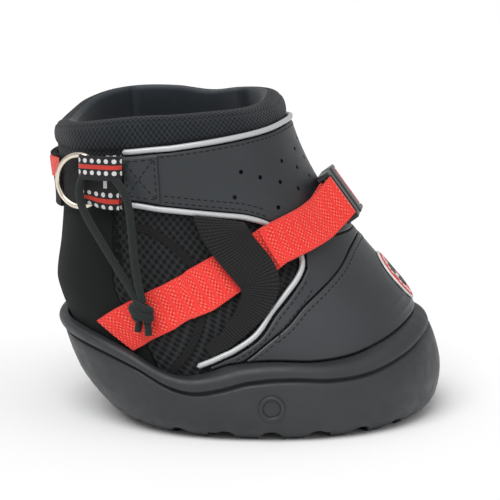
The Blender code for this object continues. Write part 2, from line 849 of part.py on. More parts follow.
def bar_turn(frame, bar_centre, side, first, last, count):
    """Rows of webbing round a buckle bar; the turn runs from 0 under it to 180 over it."""
    level = buckle_thickness / 2
    radius = buckle_bar / 2 + fit_gap + strap_thickness / 2
    across = frame.col[1].to_3d() * (strap_width / 2)
    rows = []
    for turn in np.linspace(math.radians(first), math.radians(last), count):
        centre = frame @ Vector((bar_centre - side * radius * math.sin(turn), 0.0,
                                 level - radius * math.cos(turn)))
        rows.append([centre + across * share for share in np.linspace(-1.0, 1.0, 5)])
    return rows


def bar_lead(frame, bar_centre, side, level_side):
    """A row just outside the buckle, level with the webbing under (-1) or over (1) the bar."""
    radius = buckle_bar / 2 + fit_gap + strap_thickness / 2
    reach = buckle_bar / 2 + strap_thickness
    across = frame.col[1].to_3d() * (strap_width / 2)
    centre = frame @ Vector((bar_centre + side * reach, 0.0, buckle_thickness / 2 + level_side * radius))
    return [centre + across * share for share in np.linspace(-1.0, 1.0, 5)]


def align(rows):
    """Turns each row so that it runs the same way across as the row before it."""
    fixed = [rows[0]]
    for row in rows[1:]:
        last = fixed[-1]
        if (row[0] - last[0]).length > (row[-1] - last[0]).length:
            row = list(reversed(row))
        fixed.append(row)
    return fixed


def thick_strip(name, rows, thickness, material):
    """A strip whose middle surface is given, thickened to both sides."""
    obj = add_object(name, grid_mesh(name, align(rows)), material)
    solidify = obj.modifiers.new("thickness", "SOLIDIFY")
    solidify.thickness = thickness
    solidify.offset = 0.0
    solidify.use_even_offset = True
    return obj


def strap_rows(side, start, stop, count, raise_by=0.0, slant=0.0):
    """Middle surface of the strap between two angles on one side."""
    path = strap_path(side, start, stop, count, raise_by + strap_thickness / 2)
    return ribbon_rows(path, strap_width, slant_start=side * slant)


def make_straps():
    """Red webbing: one sewn strap on the left, three pieces on the adjustable right side."""
    frame = buckle_frame()
    over = strap_thickness + 2 * fit_gap
    heel = strap_line_shares[0][0]
    sewn = align(
        strap_rows(1, heel, strap_leaves_left, 28, 0.0, strap_heel_slant)
        + [bar_lead(frame, socket_bar, 1, -1)]
        + bar_turn(frame, socket_bar, 1, 0, 180, 7)
        + [bar_lead(frame, socket_bar, 1, 1)]
        + list(reversed(strap_rows(1, tail_edge, strap_leaves_left + 6.0, 10, over))))
    thick_strip("strap_left", sewn, strap_thickness, "red_webbing")
    thick_strip("lower_strap_right",
                strap_rows(-1, heel, strap_joint + strap_joint_gap, 20, 0.0, strap_heel_slant),
                strap_thickness, "red_webbing")
    front = strap_rows(-1, strap_joint, strap_leaves_right, 10)
    front += [bar_lead(frame, clip_bar, -1, -1)] + bar_turn(frame, clip_bar, -1, 0, 8, 2)
    thick_strip("front_strap_right", front, strap_thickness, "red_webbing")
    tail = list(reversed(strap_rows(-1, tail_edge, strap_leaves_right + 4.0, 9, over)))
    tail = bar_turn(frame, clip_bar, -1, 100, 180, 5) + [bar_lead(frame, clip_bar, -1, 1)] + tail
    obj = thick_strip("strap_tail", tail, strap_thickness, "red_webbing")
    set_origin(obj, frame @ Vector((clip_bar, 0.0, buckle_thickness / 2)))


def make_side_bands():
    """Ribbed black webbing that holds the red strap against each side."""
    stations = [(i, *row) for i, row in enumerate(band_line_shares)]
    for side, name in ((-1, "right"), (1, "left")):
        path = []
        for at in np.linspace(0, len(stations) - 1, 17):
            angle, share, width_share, lift = [smooth_value(stations, at, c) for c in range(1, 5)]
            path.append((side * angle, share * boot_height, band_low + lift * band_lift, width_share))
        shell("side_band_" + name, facing_out(ribbon_rows(path, band_width)), band_thickness,
              "black_webbing")


def make_socket():
    """The buckle's socket: a box with a pocket, side windows and a strap bar."""
    frame = buckle_frame()
    half = buckle_width / 2
    level = buckle_thickness / 2
    strap_half = strap_width / 2 + seam_gap
    body = block("buckle_socket", (socket_start, -half, 0), (socket_end, half, buckle_thickness), frame)
    bevel(body, 0.4 * socket_wall)
    inner = half - socket_wall
    combine(body, block("pocket", (socket_start - overrun, -inner, socket_wall),
                        (pocket_end, inner, buckle_thickness - socket_wall), frame), "DIFFERENCE")
    combine(body, block("strap_space", (slot_start, -strap_half, -overrun),
                        (socket_end + overrun, strap_half, buckle_thickness + overrun), frame),
            "DIFFERENCE")
    window = 0.22 * buckle_thickness
    combine(body, block("window", (socket_start + 0.45 * prong_length, -half - overrun, level - window),
                        (pocket_end - socket_wall, half + overrun, level + window), frame),
            "DIFFERENCE")
    combine(body, bar_block("socket_strap_bar", socket_bar, frame), "UNION")


def bar_block(name, centre, frame):
    """A strap bar with rounded edges that reaches into both side rails."""
    half = strap_width / 2 + seam_gap + socket_wall / 2
    level = buckle_thickness / 2
    thick = buckle_bar / 2
    obj = block(name, (centre - thick, -half, level - thick), (centre + thick, half, level + thick), frame)
    bevel(obj, 0.95 * thick, 3)
    return as_mesh(obj)


def make_clip():
    """The buckle's clip: a strap bar in a frame and a guide that enters the socket."""
    frame = buckle_frame()
    half = buckle_width / 2
    level = buckle_thickness / 2
    skin = 0.06 * buckle_thickness
    strap_half = strap_width / 2 + seam_gap
    body = block("buckle_clip", (clip_end, -half, skin), (clip_start, half, buckle_thickness - skin),
                 frame)
    bevel(body, 0.4 * socket_wall)
    combine(body, block("strap_space", (clip_end - overrun, -strap_half, -overrun),
                        (clip_slot, strap_half, buckle_thickness + overrun), frame), "DIFFERENCE")
    combine(body, bar_block("clip_strap_bar", clip_bar, frame), "UNION")
    guide = 0.4 * prong_width + prong_width
    tongue = block("guide", (clip_start - socket_wall, -guide, level - 0.4 * prong_width),
                   (clip_start + 0.75 * prong_length, guide, level + 0.4 * prong_width), frame)
    combine(body, tongue, "UNION")


def make_prongs():
    """The two barbed prongs that are squeezed to let the clip out."""
    frame = buckle_frame()
    level = buckle_thickness / 2
    outside = buckle_width / 2 - socket_wall - seam_gap
    root = clip_start + fit_gap
    outline_shares = (
        (0.0, -1.0), (0.0, -0.35), (0.45, -0.35), (0.52, 0.0), (0.66, 0.0), (1.0, -0.6), (1.0, -1.0),
    )
    depth = 1.5 * prong_width
    for side, name in ((1, "upper"), (-1, "lower")):
        curve = bpy.data.curves.new("buckle_prong_" + name, "CURVE")
        curve.dimensions = "2D"
        curve.fill_mode = "BOTH"
        curve.extrude = 0.5 * prong_width
        spline = curve.splines.new("POLY")
        spline.points.add(len(outline_shares) - 1)
        origin = Vector((root, side * (outside - 0.7 * depth), level))
        for place, (u, v) in zip(spline.points, outline_shares):
            place.co = (u * prong_length, side * (outside + v * depth) - origin.y, 0.0, 1.0)
        spline.use_cyclic_u = True
        obj = bpy.data.objects.new("buckle_prong_" + name, curve)
        collection.objects.link(obj)
        curve.materials.append(materials["buckle_plastic"])
        obj.matrix_world = frame @ Matrix.Translation(origin)


# Rear closure

def tab_frame():
    """Local frame of the tab: backwards along the collar, up, and outwards."""
    height = tab_height_share * boot_height
    point, along, up, normal = surface_frame(upper_section_shares, tab_angle, height)
    back = Vector((-normal.y, normal.x, 0.0)).normalized()
    if back.x > 0:
        back = -back
    flat = Vector((normal.x, normal.y, 0.0)).normalized()
    frame = Matrix((back, Vector((0, 0, 1)), flat)).transposed().to_4x4()
    frame.translation = point
    return frame


def make_tab():
    """Woven tape folded through the ring, its lower end back under the upper one."""
    frame = tab_frame()
    middle, radius = tab_fold_middle, tab_fold_radius
    fold = tab_length / 2 - radius
    seam = -tab_length / 2
    points = [(seam, middle - radius, 1.0), (0.45 * seam, middle - radius, 1.0),
              (0.1 * fold, middle - radius, 0.95), (0.6 * fold, middle - radius, 0.85)]
    for i in range(7):
        turn = math.pi * i / 6
        points.append((fold + radius * math.sin(turn), middle - radius * math.cos(turn), 0.81))
    points += [(0.6 * fold, middle + radius, 0.85), (0.1 * fold, middle + radius, 0.95),
               (0.45 * seam, middle + radius, 1.0), (0.8 * seam, middle + 0.75 * radius, 1.0),
               (seam, middle + 0.3 * radius, 1.0)]
    rows = []
    for u, w, share in points:
        rows.append([frame @ Vector((u, share * tab_width * (j / 4 - 0.5), w)) for j in range(5)])
    obj = thick_strip("woven_tab", rows, tab_thickness, "woven_tape")
    set_origin(obj, frame @ Vector((seam, 0.0, middle)))


def make_ring():
    """The round metal ring held in the tab's fold."""
    frame = tab_frame()
    centre = tab_length / 2 - ring_wire - tab_thickness + 0.35 * ring_radius
    bpy.ops.mesh.primitive_torus_add(major_radius=ring_radius - ring_wire, minor_radius=ring_wire,
                                     major_segments=36, minor_segments=6)
    obj = bpy.context.object
    for owner in list(obj.users_collection):
        owner.objects.unlink(obj)
    collection.objects.link(obj)
    obj.name = "rear_ring"
    obj.data.materials.append(materials["ring_metal"])
    obj.data.shade_smooth()
    obj.matrix_world = frame @ Matrix.Translation(Vector((centre, 0.0, tab_fold_middle)))


# Routes of the two cord strands in the tab's frame, hand-chosen: backwards, up and outwards
cord_left_points = (
    (0.0060, cord_exit, tab_face + fit_gap), (0.0060, cord_exit, tab_face + 0.6 * cord_diameter),
    (0.0065, -0.0045, cord_level), (0.0062, -0.0100, cord_level), (0.0036, -0.0152, cord_level),
    (-0.0046, -0.0270, cord_level), (-0.0141, -0.0410, cord_level), (-0.0211, -0.0505, cord_level),
)
cord_right_points = (
    (-0.0052, cord_exit, tab_face + fit_gap), (-0.0052, cord_exit, tab_face + 0.6 * cord_diameter),
    (-0.0115, -0.0018, cord_level), (-0.0174, -0.0070, cord_level), (-0.0196, -0.0195, cord_level),
    (-0.0203, -0.0310, cord_level), (-0.0232, -0.0450, cord_level), (-0.0253, -0.0505, cord_level),
)
knot_centre = (-0.0251, -0.0558, cord_level)


def smooth_route(points, spacing):
    """Points at even steps along a smooth curve through a route's own points."""
    stations = list(range(len(points)))
    columns = [[(s, p[axis]) for s, p in zip(stations, points)] for axis in range(3)]
    fine = [Vector([smooth_value(column, at) for column in columns])
            for at in np.linspace(0, stations[-1], 40 * len(points))]
    lengths = [0.0]
    for a, b in zip(fine, fine[1:]):
        lengths.append(lengths[-1] + (b - a).length)
    count = max(2, round(lengths[-1] / spacing))
    return [fine[int(np.searchsorted(lengths, at))] for at in
            np.linspace(0, lengths[-1], count, endpoint=False)] + [fine[-1]]


def make_cords():
    """The elastic pull cord, a strand on each side, and the knot that joins them."""
    frame = tab_frame()
    hinge = frame @ Vector((0.0, cord_hinge, tab_face + fit_gap))
    for name, points in (("left", cord_left_points), ("right", cord_right_points)):
        strand = tube("elastic_cord_" + name, [points[0]] + smooth_route(points[1:], 2 * cord_diameter),
                      cord_diameter / 2, "cord_elastic", resolution=2)
        strand.matrix_world = frame
        set_origin(strand, hinge)
    bpy.ops.mesh.primitive_uv_sphere_add(segments=14, ring_count=8, radius=knot_radius)
    knot = bpy.context.object
    for owner in list(knot.users_collection):
        owner.objects.unlink(knot)
    collection.objects.link(knot)
    knot.name = "cord_knot"
    knot.data.materials.append(materials["cord_elastic"])
    squash = Matrix.Diagonal((0.95, 0.80, 0.72, 1.0))
    knot.data.transform(Matrix.Translation(knot_centre) @ squash)
    knot.matrix_world = frame
    for side, drop in ((-1, 1.55), (1, 1.3)):
        start = Vector(knot_centre) + Vector((side * 0.3 * knot_radius, -0.2 * knot_radius, 0.0))
        stop = start + Vector((side * 0.16 * knot_radius, -drop * knot_radius, 0.0))
        end = tube("cord_end", [start, stop], 0.45 * cord_diameter, "cord_elastic")
        end.matrix_world = frame
        combine(knot, as_mesh(end), "UNION")
    set_origin(knot, hinge)


def make_rear_straps():
    """The soft strap on the heel, the hook strap over it, and its red pull tab."""
    height = rear_strap_share * boot_height
    low = fit_gap
    start = 360.0 - near_strap_start
    path = [(a, height, low, 1.0) for a in np.linspace(near_strap_end, start, 12)]
    shell("rear_strap_near", facing_out(ribbon_rows(path, rear_strap_width)), rear_strap_thickness,
          "black_webbing")
    first = collar_band_edge_left + 1.0
    lifted = low + rear_strap_thickness + fit_gap
    path = []
    for angle in np.linspace(first, far_strap_end, 16):
        share = min(1.0, max(0.0, (angle - first) / (near_strap_end - first - 6.0)))
        path.append((angle, height, low + (lifted - low) * share, 1.0))
    strap = shell("rear_strap_far", facing_out(ribbon_rows(path, rear_strap_width)),
                  rear_strap_thickness, "black_webbing")
    set_origin(strap, layer_point(first, height, low + rear_strap_thickness))
    top = height + rear_strap_width / 2 - pull_tab_height / 2 - seam_gap
    point, along, up, normal = surface_frame(upper_section_shares, far_strap_end, top)
    degrees = pull_tab_length / along.length
    path = [(a, top, lifted + rear_strap_thickness + fit_gap, 1.0) for a in
            np.linspace(far_strap_end - 0.6 * degrees, far_strap_end + 0.4 * degrees, 5)]
    pull = shell("pull_tab", facing_out(ribbon_rows(path, pull_tab_height)), tab_thickness,
                 "red_webbing")
    pull.parent = strap
    pull.matrix_parent_inverse = strap.matrix_world.inverted()


def make_end_patches():
    """Cross-stitched patches that hold the rear straps on the collar's ends."""
    clear = piping_radius + seam_gap

    def low(angle):
        return beside(upper_piping_shares, angle, clear) + patch_inset

    def high(angle):
        return beside(top_piping_shares, angle, -clear) - patch_inset

    for name, start, stop in (
        ("ring_webbing", -collar_band_edge_right + 0.5, -collar_band_edge_right + patch_span),
        ("rear_strap_patch", collar_band_edge_left - patch_span, collar_band_edge_left - 0.5),
    ):
        panel(name, np.linspace(start, stop, 5), low, high, 4, leather_top + fit_gap, tab_thickness,
              "black_webbing")


for make in (make_outsole, make_insole, make_lining, make_textiles, make_overlays, make_collar_pad,
             make_pipings, make_badge, make_straps, make_side_bands, make_socket, make_clip,
             make_prongs, make_tab, make_ring, make_cords, make_rear_straps, make_end_patches):
    make()
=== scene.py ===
# Horse hoof boot: the looks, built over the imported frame. Metres, toe towards +X, ring side -Y.
import math

import bmesh
import bpy
import numpy as np
from mathutils import Matrix, Vector


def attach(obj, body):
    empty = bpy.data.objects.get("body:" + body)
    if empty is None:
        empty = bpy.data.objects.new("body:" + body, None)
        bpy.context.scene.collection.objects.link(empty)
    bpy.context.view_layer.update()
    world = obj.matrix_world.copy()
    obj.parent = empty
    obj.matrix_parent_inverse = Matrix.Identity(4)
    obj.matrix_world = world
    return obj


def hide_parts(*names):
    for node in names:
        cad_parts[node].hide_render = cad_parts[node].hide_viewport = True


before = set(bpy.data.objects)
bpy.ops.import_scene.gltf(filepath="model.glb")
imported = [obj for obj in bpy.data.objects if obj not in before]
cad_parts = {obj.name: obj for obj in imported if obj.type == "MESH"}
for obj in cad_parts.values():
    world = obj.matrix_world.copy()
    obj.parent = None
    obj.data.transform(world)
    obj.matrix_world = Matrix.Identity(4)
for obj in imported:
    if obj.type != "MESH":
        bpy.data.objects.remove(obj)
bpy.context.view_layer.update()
print("frame loaded")

# The boot's own sizes and layers, as in the model
boot = {
    "height": 0.150, "frontReach": 0.082, "backReach": 0.103, "halfWidth": 0.078,
    "frontRoundness": 2.1, "backRoundness": 2.45,
    "fitGap": 0.0003, "seamGap": 0.0004,
    "textile": 0.0018, "lining": 0.0024, "leather": 0.0014,
    "padSeam": 0.1074, "strapSplit": 0.08595, "piping": 0.0013,
}
layers = {
    "leatherLow": 0.00015, "leatherTop": 0.00155, "textileTop": -0.0003, "liningTop": -0.00255,
    "pipingCentre": 0.00145, "strapLow": 0.0003, "strapLift": 0.00275, "bandLow": 0.0003,
    "bandLift": 0.00445,
}

# Sections: height, front, back, half width and widest place, as shares of the overall sizes
upperSections = (
    (0.053, 0.854, 0.718, 0.846, 0.039), (0.133, 0.902, 0.816, 0.897, 0.078),
    (0.200, 0.896, 0.864, 0.904, 0.117), (0.267, 0.866, 0.900, 0.891, 0.175),
    (0.333, 0.821, 0.945, 0.863, 0.252), (0.387, 0.760, 0.976, 0.828, 0.320),
    (0.440, 0.677, 0.993, 0.801, 0.379), (0.560, 0.485, 0.971, 0.738, 0.427),
    (0.693, 0.296, 0.959, 0.724, 0.427), (0.833, 0.157, 0.981, 0.718, 0.437),
    (1.013, 0.043, 0.981, 0.641, 0.447),
)
cupSections = (
    (0.000, 0.860, 0.630, 0.885, -0.010), (0.020, 0.925, 0.715, 0.945, 0.000),
    (0.053, 0.975, 0.777, 0.985, 0.010), (0.133, 1.000, 0.874, 1.000, 0.029),
    (0.200, 0.980, 0.922, 0.994, 0.058), (0.267, 0.935, 0.956, 0.968, 0.117),
    (0.313, 0.880, 0.981, 0.936, 0.165), (0.360, 0.800, 0.985, 0.900, 0.210),
)
# Lines round the boot: degrees from the toe and height share
grooveLine = (
    (0, 0.275), (20, 0.258), (40, 0.220), (55, 0.192), (68, 0.183), (80, 0.190), (90, 0.184),
    (98, 0.158), (106, 0.145), (113, 0.160), (122, 0.208), (135, 0.246), (153, 0.268), (180, 0.275),
)
toeSeam = (
    (0, 0.550), (11, 0.550), (25, 0.527), (39, 0.477), (52, 0.425), (61, 0.385), (70, 0.333),
    (79, 0.287), (88, 0.236), (100, 0.170),
)
lowerPiping = (
    (49.5, 0.547), (51, 0.513), (54.5, 0.480), (61, 0.437), (71, 0.377), (80, 0.313),
    (88.5, 0.270), (94, 0.243), (100, 0.222),
)
upperPiping = (
    (49.5, 0.547), (51.5, 0.587), (57, 0.627), (64, 0.650), (72, 0.660), (82, 0.670),
    (92, 0.680), (104, 0.693), (150, 0.700),
)
topPiping = (
    (0, 0.927), (20, 0.920), (40, 0.903), (60, 0.887), (80, 0.870), (94, 0.857), (109, 0.847),
    (150, 0.838),
)
padTop = (
    (-180, 0.918), (-150, 0.925), (-110, 0.950), (-80, 0.957), (-50, 0.972), (-20, 0.991),
    (0, 1.004), (20, 1.008), (50, 1.008), (72, 0.995), (95, 1.004), (125, 0.996),
    (145, 0.975), (160, 0.948), (180, 0.918),
)
strapLine = (
    (126, 0.300, 0.0), (112, 0.345, 0.0), (95.5, 0.400, 0.0), (76, 0.493, 0.10),
    (65, 0.537, 0.25), (58, 0.567, 1.0), (41, 0.605, 1.0), (25, 0.637, 1.0), (8, 0.660, 1.0),
)
bandLine = (
    (74.5, 0.650, 1.00, 0.55), (73.5, 0.610, 1.00, 1.00), (72, 0.565, 1.00, 1.00),
    (70.0, 0.515, 1.00, 1.00), (68.6, 0.468, 0.96, 0.90), (71.5, 0.416, 0.80, 0.70),
    (79.5, 0.358, 0.58, 0.45), (88, 0.304, 0.40, 0.20), (94.5, 0.264, 0.30, 0.0),
)


# Surface of the boot

def smoothCurve(table, places, column=1):
    rows = np.array(table, dtype=float)
    at, values = rows[:, 0], rows[:, column]
    wideAt, wideValues = np.pad(at, 1, "edge"), np.pad(values, 1, "edge")
    slopes = (wideValues[2:] - wideValues[:-2]) / (wideAt[2:] - wideAt[:-2])
    x = np.clip(np.asarray(places, dtype=float), at[0], at[-1])
    row = np.clip(np.searchsorted(at, x, side="right") - 1, 0, len(at) - 2)
    span = at[row + 1] - at[row]
    t = (x - at[row]) / span
    return (values[row] * (1 + 2 * t) * (1 - t) ** 2 + slopes[row] * span * t * (1 - t) ** 2
            + values[row + 1] * t * t * (3 - 2 * t) - slopes[row + 1] * span * t * t * (1 - t))


def unit(vectors):
    vectors = np.asarray(vectors, float)
    return vectors / np.maximum(np.linalg.norm(vectors, axis=-1, keepdims=True), 1e-12)


def sectionPoints(sections, angles, heights):
    angles, heights = np.broadcast_arrays(np.asarray(angles, float), np.asarray(heights, float))
    reaches = (boot["frontReach"], -boot["backReach"], boot["halfWidth"], -boot["backReach"])
    front, back, half, widest = (reach * smoothCurve(sections, heights / boot["height"], column)
                                 for column, reach in enumerate(reaches, 1))
    cosine, sine = np.cos(np.radians(angles)), np.sin(np.radians(angles))
    power = 2 / np.where(cosine > 0, boot["frontRoundness"], boot["backRoundness"])
    reach = np.where(cosine > 0, front - widest, widest - back)
    x = widest + np.sign(cosine) * np.abs(cosine) ** power * reach
    y = np.sign(sine) * np.abs(sine) ** power * half
    return np.stack((x, y, heights), axis=-1)


def surfaceFrames(sections, angles, heights, turn=0.5, rise=0.0005):
    # points, the ways along (per degree) and up (per metre of height) and outward
    angles, heights = np.broadcast_arrays(np.asarray(angles, float), np.asarray(heights, float))
    along = (sectionPoints(sections, angles + turn, heights)
             - sectionPoints(sections, angles - turn, heights)) / (2 * turn)
    up = (sectionPoints(sections, angles, heights + rise)
          - sectionPoints(sections, angles, heights - rise)) / (2 * rise)
    return sectionPoints(sections, angles, heights), along, up, unit(np.cross(along, up))


def surfaceRow(angles, heights, offsets):
    # places on or over the boot with their outward directions
    point, along, up, normal = surfaceFrames(upperSections, angles, heights)
    return point + normal * np.asarray(offsets, float)[..., None], normal


def layerPoints(angles, heights, offsets):
    return surfaceRow(angles, heights, offsets)[0]


def levelPoints(sections, angles, heights, offsets):
    point, along, up, normal = surfaceFrames(sections, angles, heights)
    return point + unit(normal * (1.0, 1.0, 0.0)) * np.asarray(offsets, float)[..., None]


def lineHeight(table, angles):
    return boot["height"] * smoothCurve(table, np.abs(angles))


def beside(table, angles, distance):
    # a line at a distance above or below another one, measured square to it
    before, after = np.abs(angles) - 1.0, np.abs(angles) + 1.0
    height = lineHeight(table, angles)
    run = np.linalg.norm(sectionPoints(upperSections, after, height)
                         - sectionPoints(upperSections, before, height), axis=-1)
    rise = lineHeight(table, after) - lineHeight(table, before)
    return height + distance * np.sqrt(1.0 + (rise / run) ** 2)


def fullTurn(count):
    return np.linspace(0, 2 * math.pi, count, endpoint=False)


def allRound(count):
    return np.linspace(-180.0, 180.0, count, endpoint=False)


# Mesh helpers

def evenLengths(points, closed=False):
    points = np.vstack((points, points[:1])) if closed else points
    return np.concatenate(([0.0], np.cumsum(np.linalg.norm(np.diff(points, axis=0), axis=-1))))


def readAlong(at, lengths, values):
    return np.stack([np.interp(at, lengths, values[:, c]) for c in range(3)], axis=-1)


def softened(points, normals, spacing, rounds=3):
    # even spacing, with sharp turns rounded a little
    lengths = evenLengths(points)
    at = np.linspace(0, lengths[-1], int(lengths[-1] / spacing) + 1)
    lines = [readAlong(at, lengths, points), readAlong(at, lengths, normals)]
    for line in lines * rounds:
        line[1:-1] = 0.25 * line[:-2] + 0.5 * line[1:-1] + 0.25 * line[2:]
    return lines


def inFrame(place, points):
    return np.asarray(points, float) @ place[:3, :3].T + place[:3, 3]


def placeFrame(origin, ahead, across, out):
    place = np.eye(4)
    place[:3, 0], place[:3, 1], place[:3, 2], place[:3, 3] = ahead, across, out, origin
    return place


def looseObject(name, data):
    thing = bpy.data.objects.new(name, data)
    bpy.context.scene.collection.objects.link(thing)
    return thing


def addPiece(name, mesh, finish, nodes, body="boot", sharp=None):
    piece = looseObject(name, mesh)
    mesh.materials.append(finishes[finish])
    mesh.shade_smooth()
    if sharp:
        mesh.set_sharp_from_angle(angle=math.radians(sharp))
    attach(piece, body)
    if nodes:
        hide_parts(*nodes.split())
    return piece


def meshFrom(name, shape, closed=True):
    if closed:
        bmesh.ops.recalc_face_normals(shape, faces=shape.faces)
    mesh = bpy.data.meshes.new(name)
    shape.to_mesh(mesh)
    shape.free()
    return mesh


def flatUv(along, across):
    return np.stack(np.broadcast_arrays(along, across), axis=-1)


def addGrid(shape, points, uv=None, kind="tube"):
    # a tube has capped ends, a torus closes both ways, a panel is a wall whose two ends are filled
    rows, columns = points.shape[:2]
    flat = shape.loops.layers.uv.get("flat") or shape.loops.layers.uv.new("flat")
    verts = [[shape.verts.new(point) for point in row] for row in points]
    for i in range(rows - (kind == "tube")):
        for j in range(columns - (kind == "panel")):
            a, b = (i + 1) % rows, (j + 1) % columns
            face = shape.faces.new((verts[i][j], verts[i][b], verts[a][b], verts[a][j]))
            if uv is not None:
                for loop, (r, c) in zip(face.loops, ((i, j), (i, j + 1), (i + 1, j + 1), (i + 1, j))):
                    loop[flat].uv = uv[r][c]
    if kind == "tube":
        shape.faces.new(verts[0][::-1])
        shape.faces.new(verts[-1])
    if kind == "panel":
        bmesh.ops.holes_fill(shape, edges=[edge for edge in shape.edges if edge.is_boundary])


def gridMesh(name, points, uv=None, kind="tube"):
    shape = bmesh.new()
    addGrid(shape, points, uv, kind)
    return meshFrom(name, shape)


def tubeGrid(points, radius, sides=14, up=None, closed=False):
    # what addGrid needs for a round tube along a line
    tangent = unit(np.roll(points, -1, axis=0) - np.roll(points, 1, axis=0) if closed
                   else np.gradient(points, axis=0))
    radius = np.broadcast_to(radius, (len(points),))[:, None, None]
    if up is None:
        now = np.array((0.0, 0.0, 1.0) if abs(tangent[0][2]) < 0.9 else (1.0, 0.0, 0.0))
        up = []
        for ahead in tangent:
            now = unit(now - ahead * np.dot(now, ahead))
            up.append(now)
    side = unit(np.cross(tangent, up))
    up = np.cross(side, tangent)
    turns = fullTurn(sides)[:, None]
    rings = points[:, None] + radius * (side[:, None] * np.cos(turns) + up[:, None] * np.sin(turns))
    around = np.linspace(0, 2 * math.pi * np.mean(radius) * 1000, sides + 1)
    uv = flatUv(evenLengths(points, closed)[:, None] * 1000, around)
    return rings, uv, "torus" if closed else "tube"


def roundedEnds(points, radius):
    # a tube's radii with short domes at both ends
    lengths = evenLengths(points)
    inside = np.clip(np.minimum(lengths, lengths[-1] - lengths) / radius, 0.0, 1.0)
    return radius * np.sqrt(np.maximum(1 - (1 - inside) ** 2, 0.02))


def panelPiece(name, angles, low, high, offset, thickness, rows, finish, node, relief=None):
    # a layer of the upper between two lines, with rounded edges
    low, high = np.broadcast_to(low, angles.shape), np.broadcast_to(high, angles.shape)
    tall = np.maximum(high - low, 0.0002)
    radius = 0.6 * thickness
    squeeze = np.minimum(1.0, 0.45 * tall / radius)
    turns = np.linspace(0.0, math.pi / 2, 5)
    edge = [(radius * (1 - math.cos(t)) * squeeze, offset + thickness - radius * (1 - math.sin(t)))
            for t in turns]
    first, last = low + radius * squeeze, high - radius * squeeze
    steps = [(low + tall * share, offset) for share in np.linspace(1.0, 0.0, 4)]
    steps += [(low + inward, out) for inward, out in edge]
    steps += [(first + (last - first) * share, offset + thickness)
              for share in np.linspace(0.0, 1.0, rows)[1:-1]]
    steps += [(low + tall - inward, out) for inward, out in edge[::-1]]
    heights = np.array([height for height, out in steps])
    offsets = np.array([out for height, out in steps])[:, None] + np.zeros(angles.shape)
    if relief:
        offsets[4:] += relief(angles, heights[4:])
    along = evenLengths(layerPoints(angles, 0.5 * (low + high), offset)) * 1000
    uv = flatUv(along, np.vstack((heights, heights[:1])) * 1000)
    mesh = gridMesh(name, layerPoints(angles, heights, offsets), uv, "panel")
    return addPiece(name, mesh, finish, node, sharp=50)


def outwardFrom(points):
    # level ways out from the middle of the boot
    return (points + (0.02, 0.0, 0.0)) * (1.0, 1.0, 0.0)


def gridNormals(points):
    return unit(np.cross(np.gradient(points, axis=0), np.gradient(points, axis=1)))


def webbingPiece(name, middle, thickness, finish, node, body="boot", turned=True, shift=0.0):
    # a strip whose middle surface is given as rows of points, with soft selvedges
    if turned and np.sum(gridNormals(middle) * outwardFrom(middle)) < 0:
        middle = middle[:, ::-1]
    width = np.linalg.norm(middle[:, -1] - middle[:, 0], axis=-1)
    place = np.linspace(-1.0, 1.0, middle.shape[1])
    halfShare = np.mean(thickness / np.maximum(width, 1e-6))
    inside = np.clip((np.abs(place) - (1 - halfShare)) / halfShare, 0.0, 1.0)
    half = gridNormals(middle) * (0.5 * thickness * np.sqrt(1 - 0.94 * inside ** 2))[:, None]
    points = np.concatenate((middle + half, (middle - half)[:, ::-1]), axis=1)
    across = np.concatenate((place, place[::-1], place[:1])) * np.mean(width) * 500 + shift
    uv = flatUv(evenLengths(middle[:, middle.shape[1] // 2])[:, None] * 1000, across)
    return addPiece(name, gridMesh(name, points, uv), finish, node, body, sharp=55)


def denseAcross(width, thickness, count=15):
    # places across a strip, closer together at its edges
    edge = thickness / width * 2
    side = 1 - edge * np.array((0.0, 0.06, 0.25, 0.6))
    inner = np.linspace(-1 + edge, 1 - edge, count)
    return np.concatenate((-side, inner, side[::-1])) * 0.5 * width


def applyModifiers(piece):
    old = piece.data
    mesh = bpy.data.meshes.new_from_object(
        piece.evaluated_get(bpy.context.evaluated_depsgraph_get()))
    piece.modifiers.clear()
    piece.data = mesh
    bpy.data.meshes.remove(old)


def cutWith(piece, name, shape, sharp):
    cutter = looseObject(name, meshFrom(name, shape, closed=False))
    modifier = piece.modifiers.new("difference", "BOOLEAN")
    modifier.operation, modifier.solver, modifier.object = "DIFFERENCE", "EXACT", cutter
    applyModifiers(piece)
    bpy.data.objects.remove(cutter, do_unlink=True)
    piece.data.set_sharp_from_angle(angle=math.radians(sharp))


def addRod(shape, centre, way, radius, length, segments):
    turn = Vector((0, 0, 1)).rotation_difference(Vector(way)).to_matrix().to_4x4()
    bmesh.ops.create_cone(shape, cap_ends=True, segments=segments, radius1=radius, radius2=radius,
                          depth=length, matrix=Matrix.Translation(Vector(centre)) @ turn)


# Node helpers

def addNode(tree, kind, inputs=None, **settings):
    made = tree.nodes.new("ShaderNode" + kind)
    for name, value in settings.items():
        setattr(made, name, value)
    for name, value in (inputs or {}).items():
        if isinstance(value, bpy.types.NodeSocket):
            tree.links.new(value, made.inputs[name])
        else:
            made.inputs[name].default_value = value
    return made


def shaded(colour, factor):
    return tuple(min(1.0, c * factor) for c in colour)


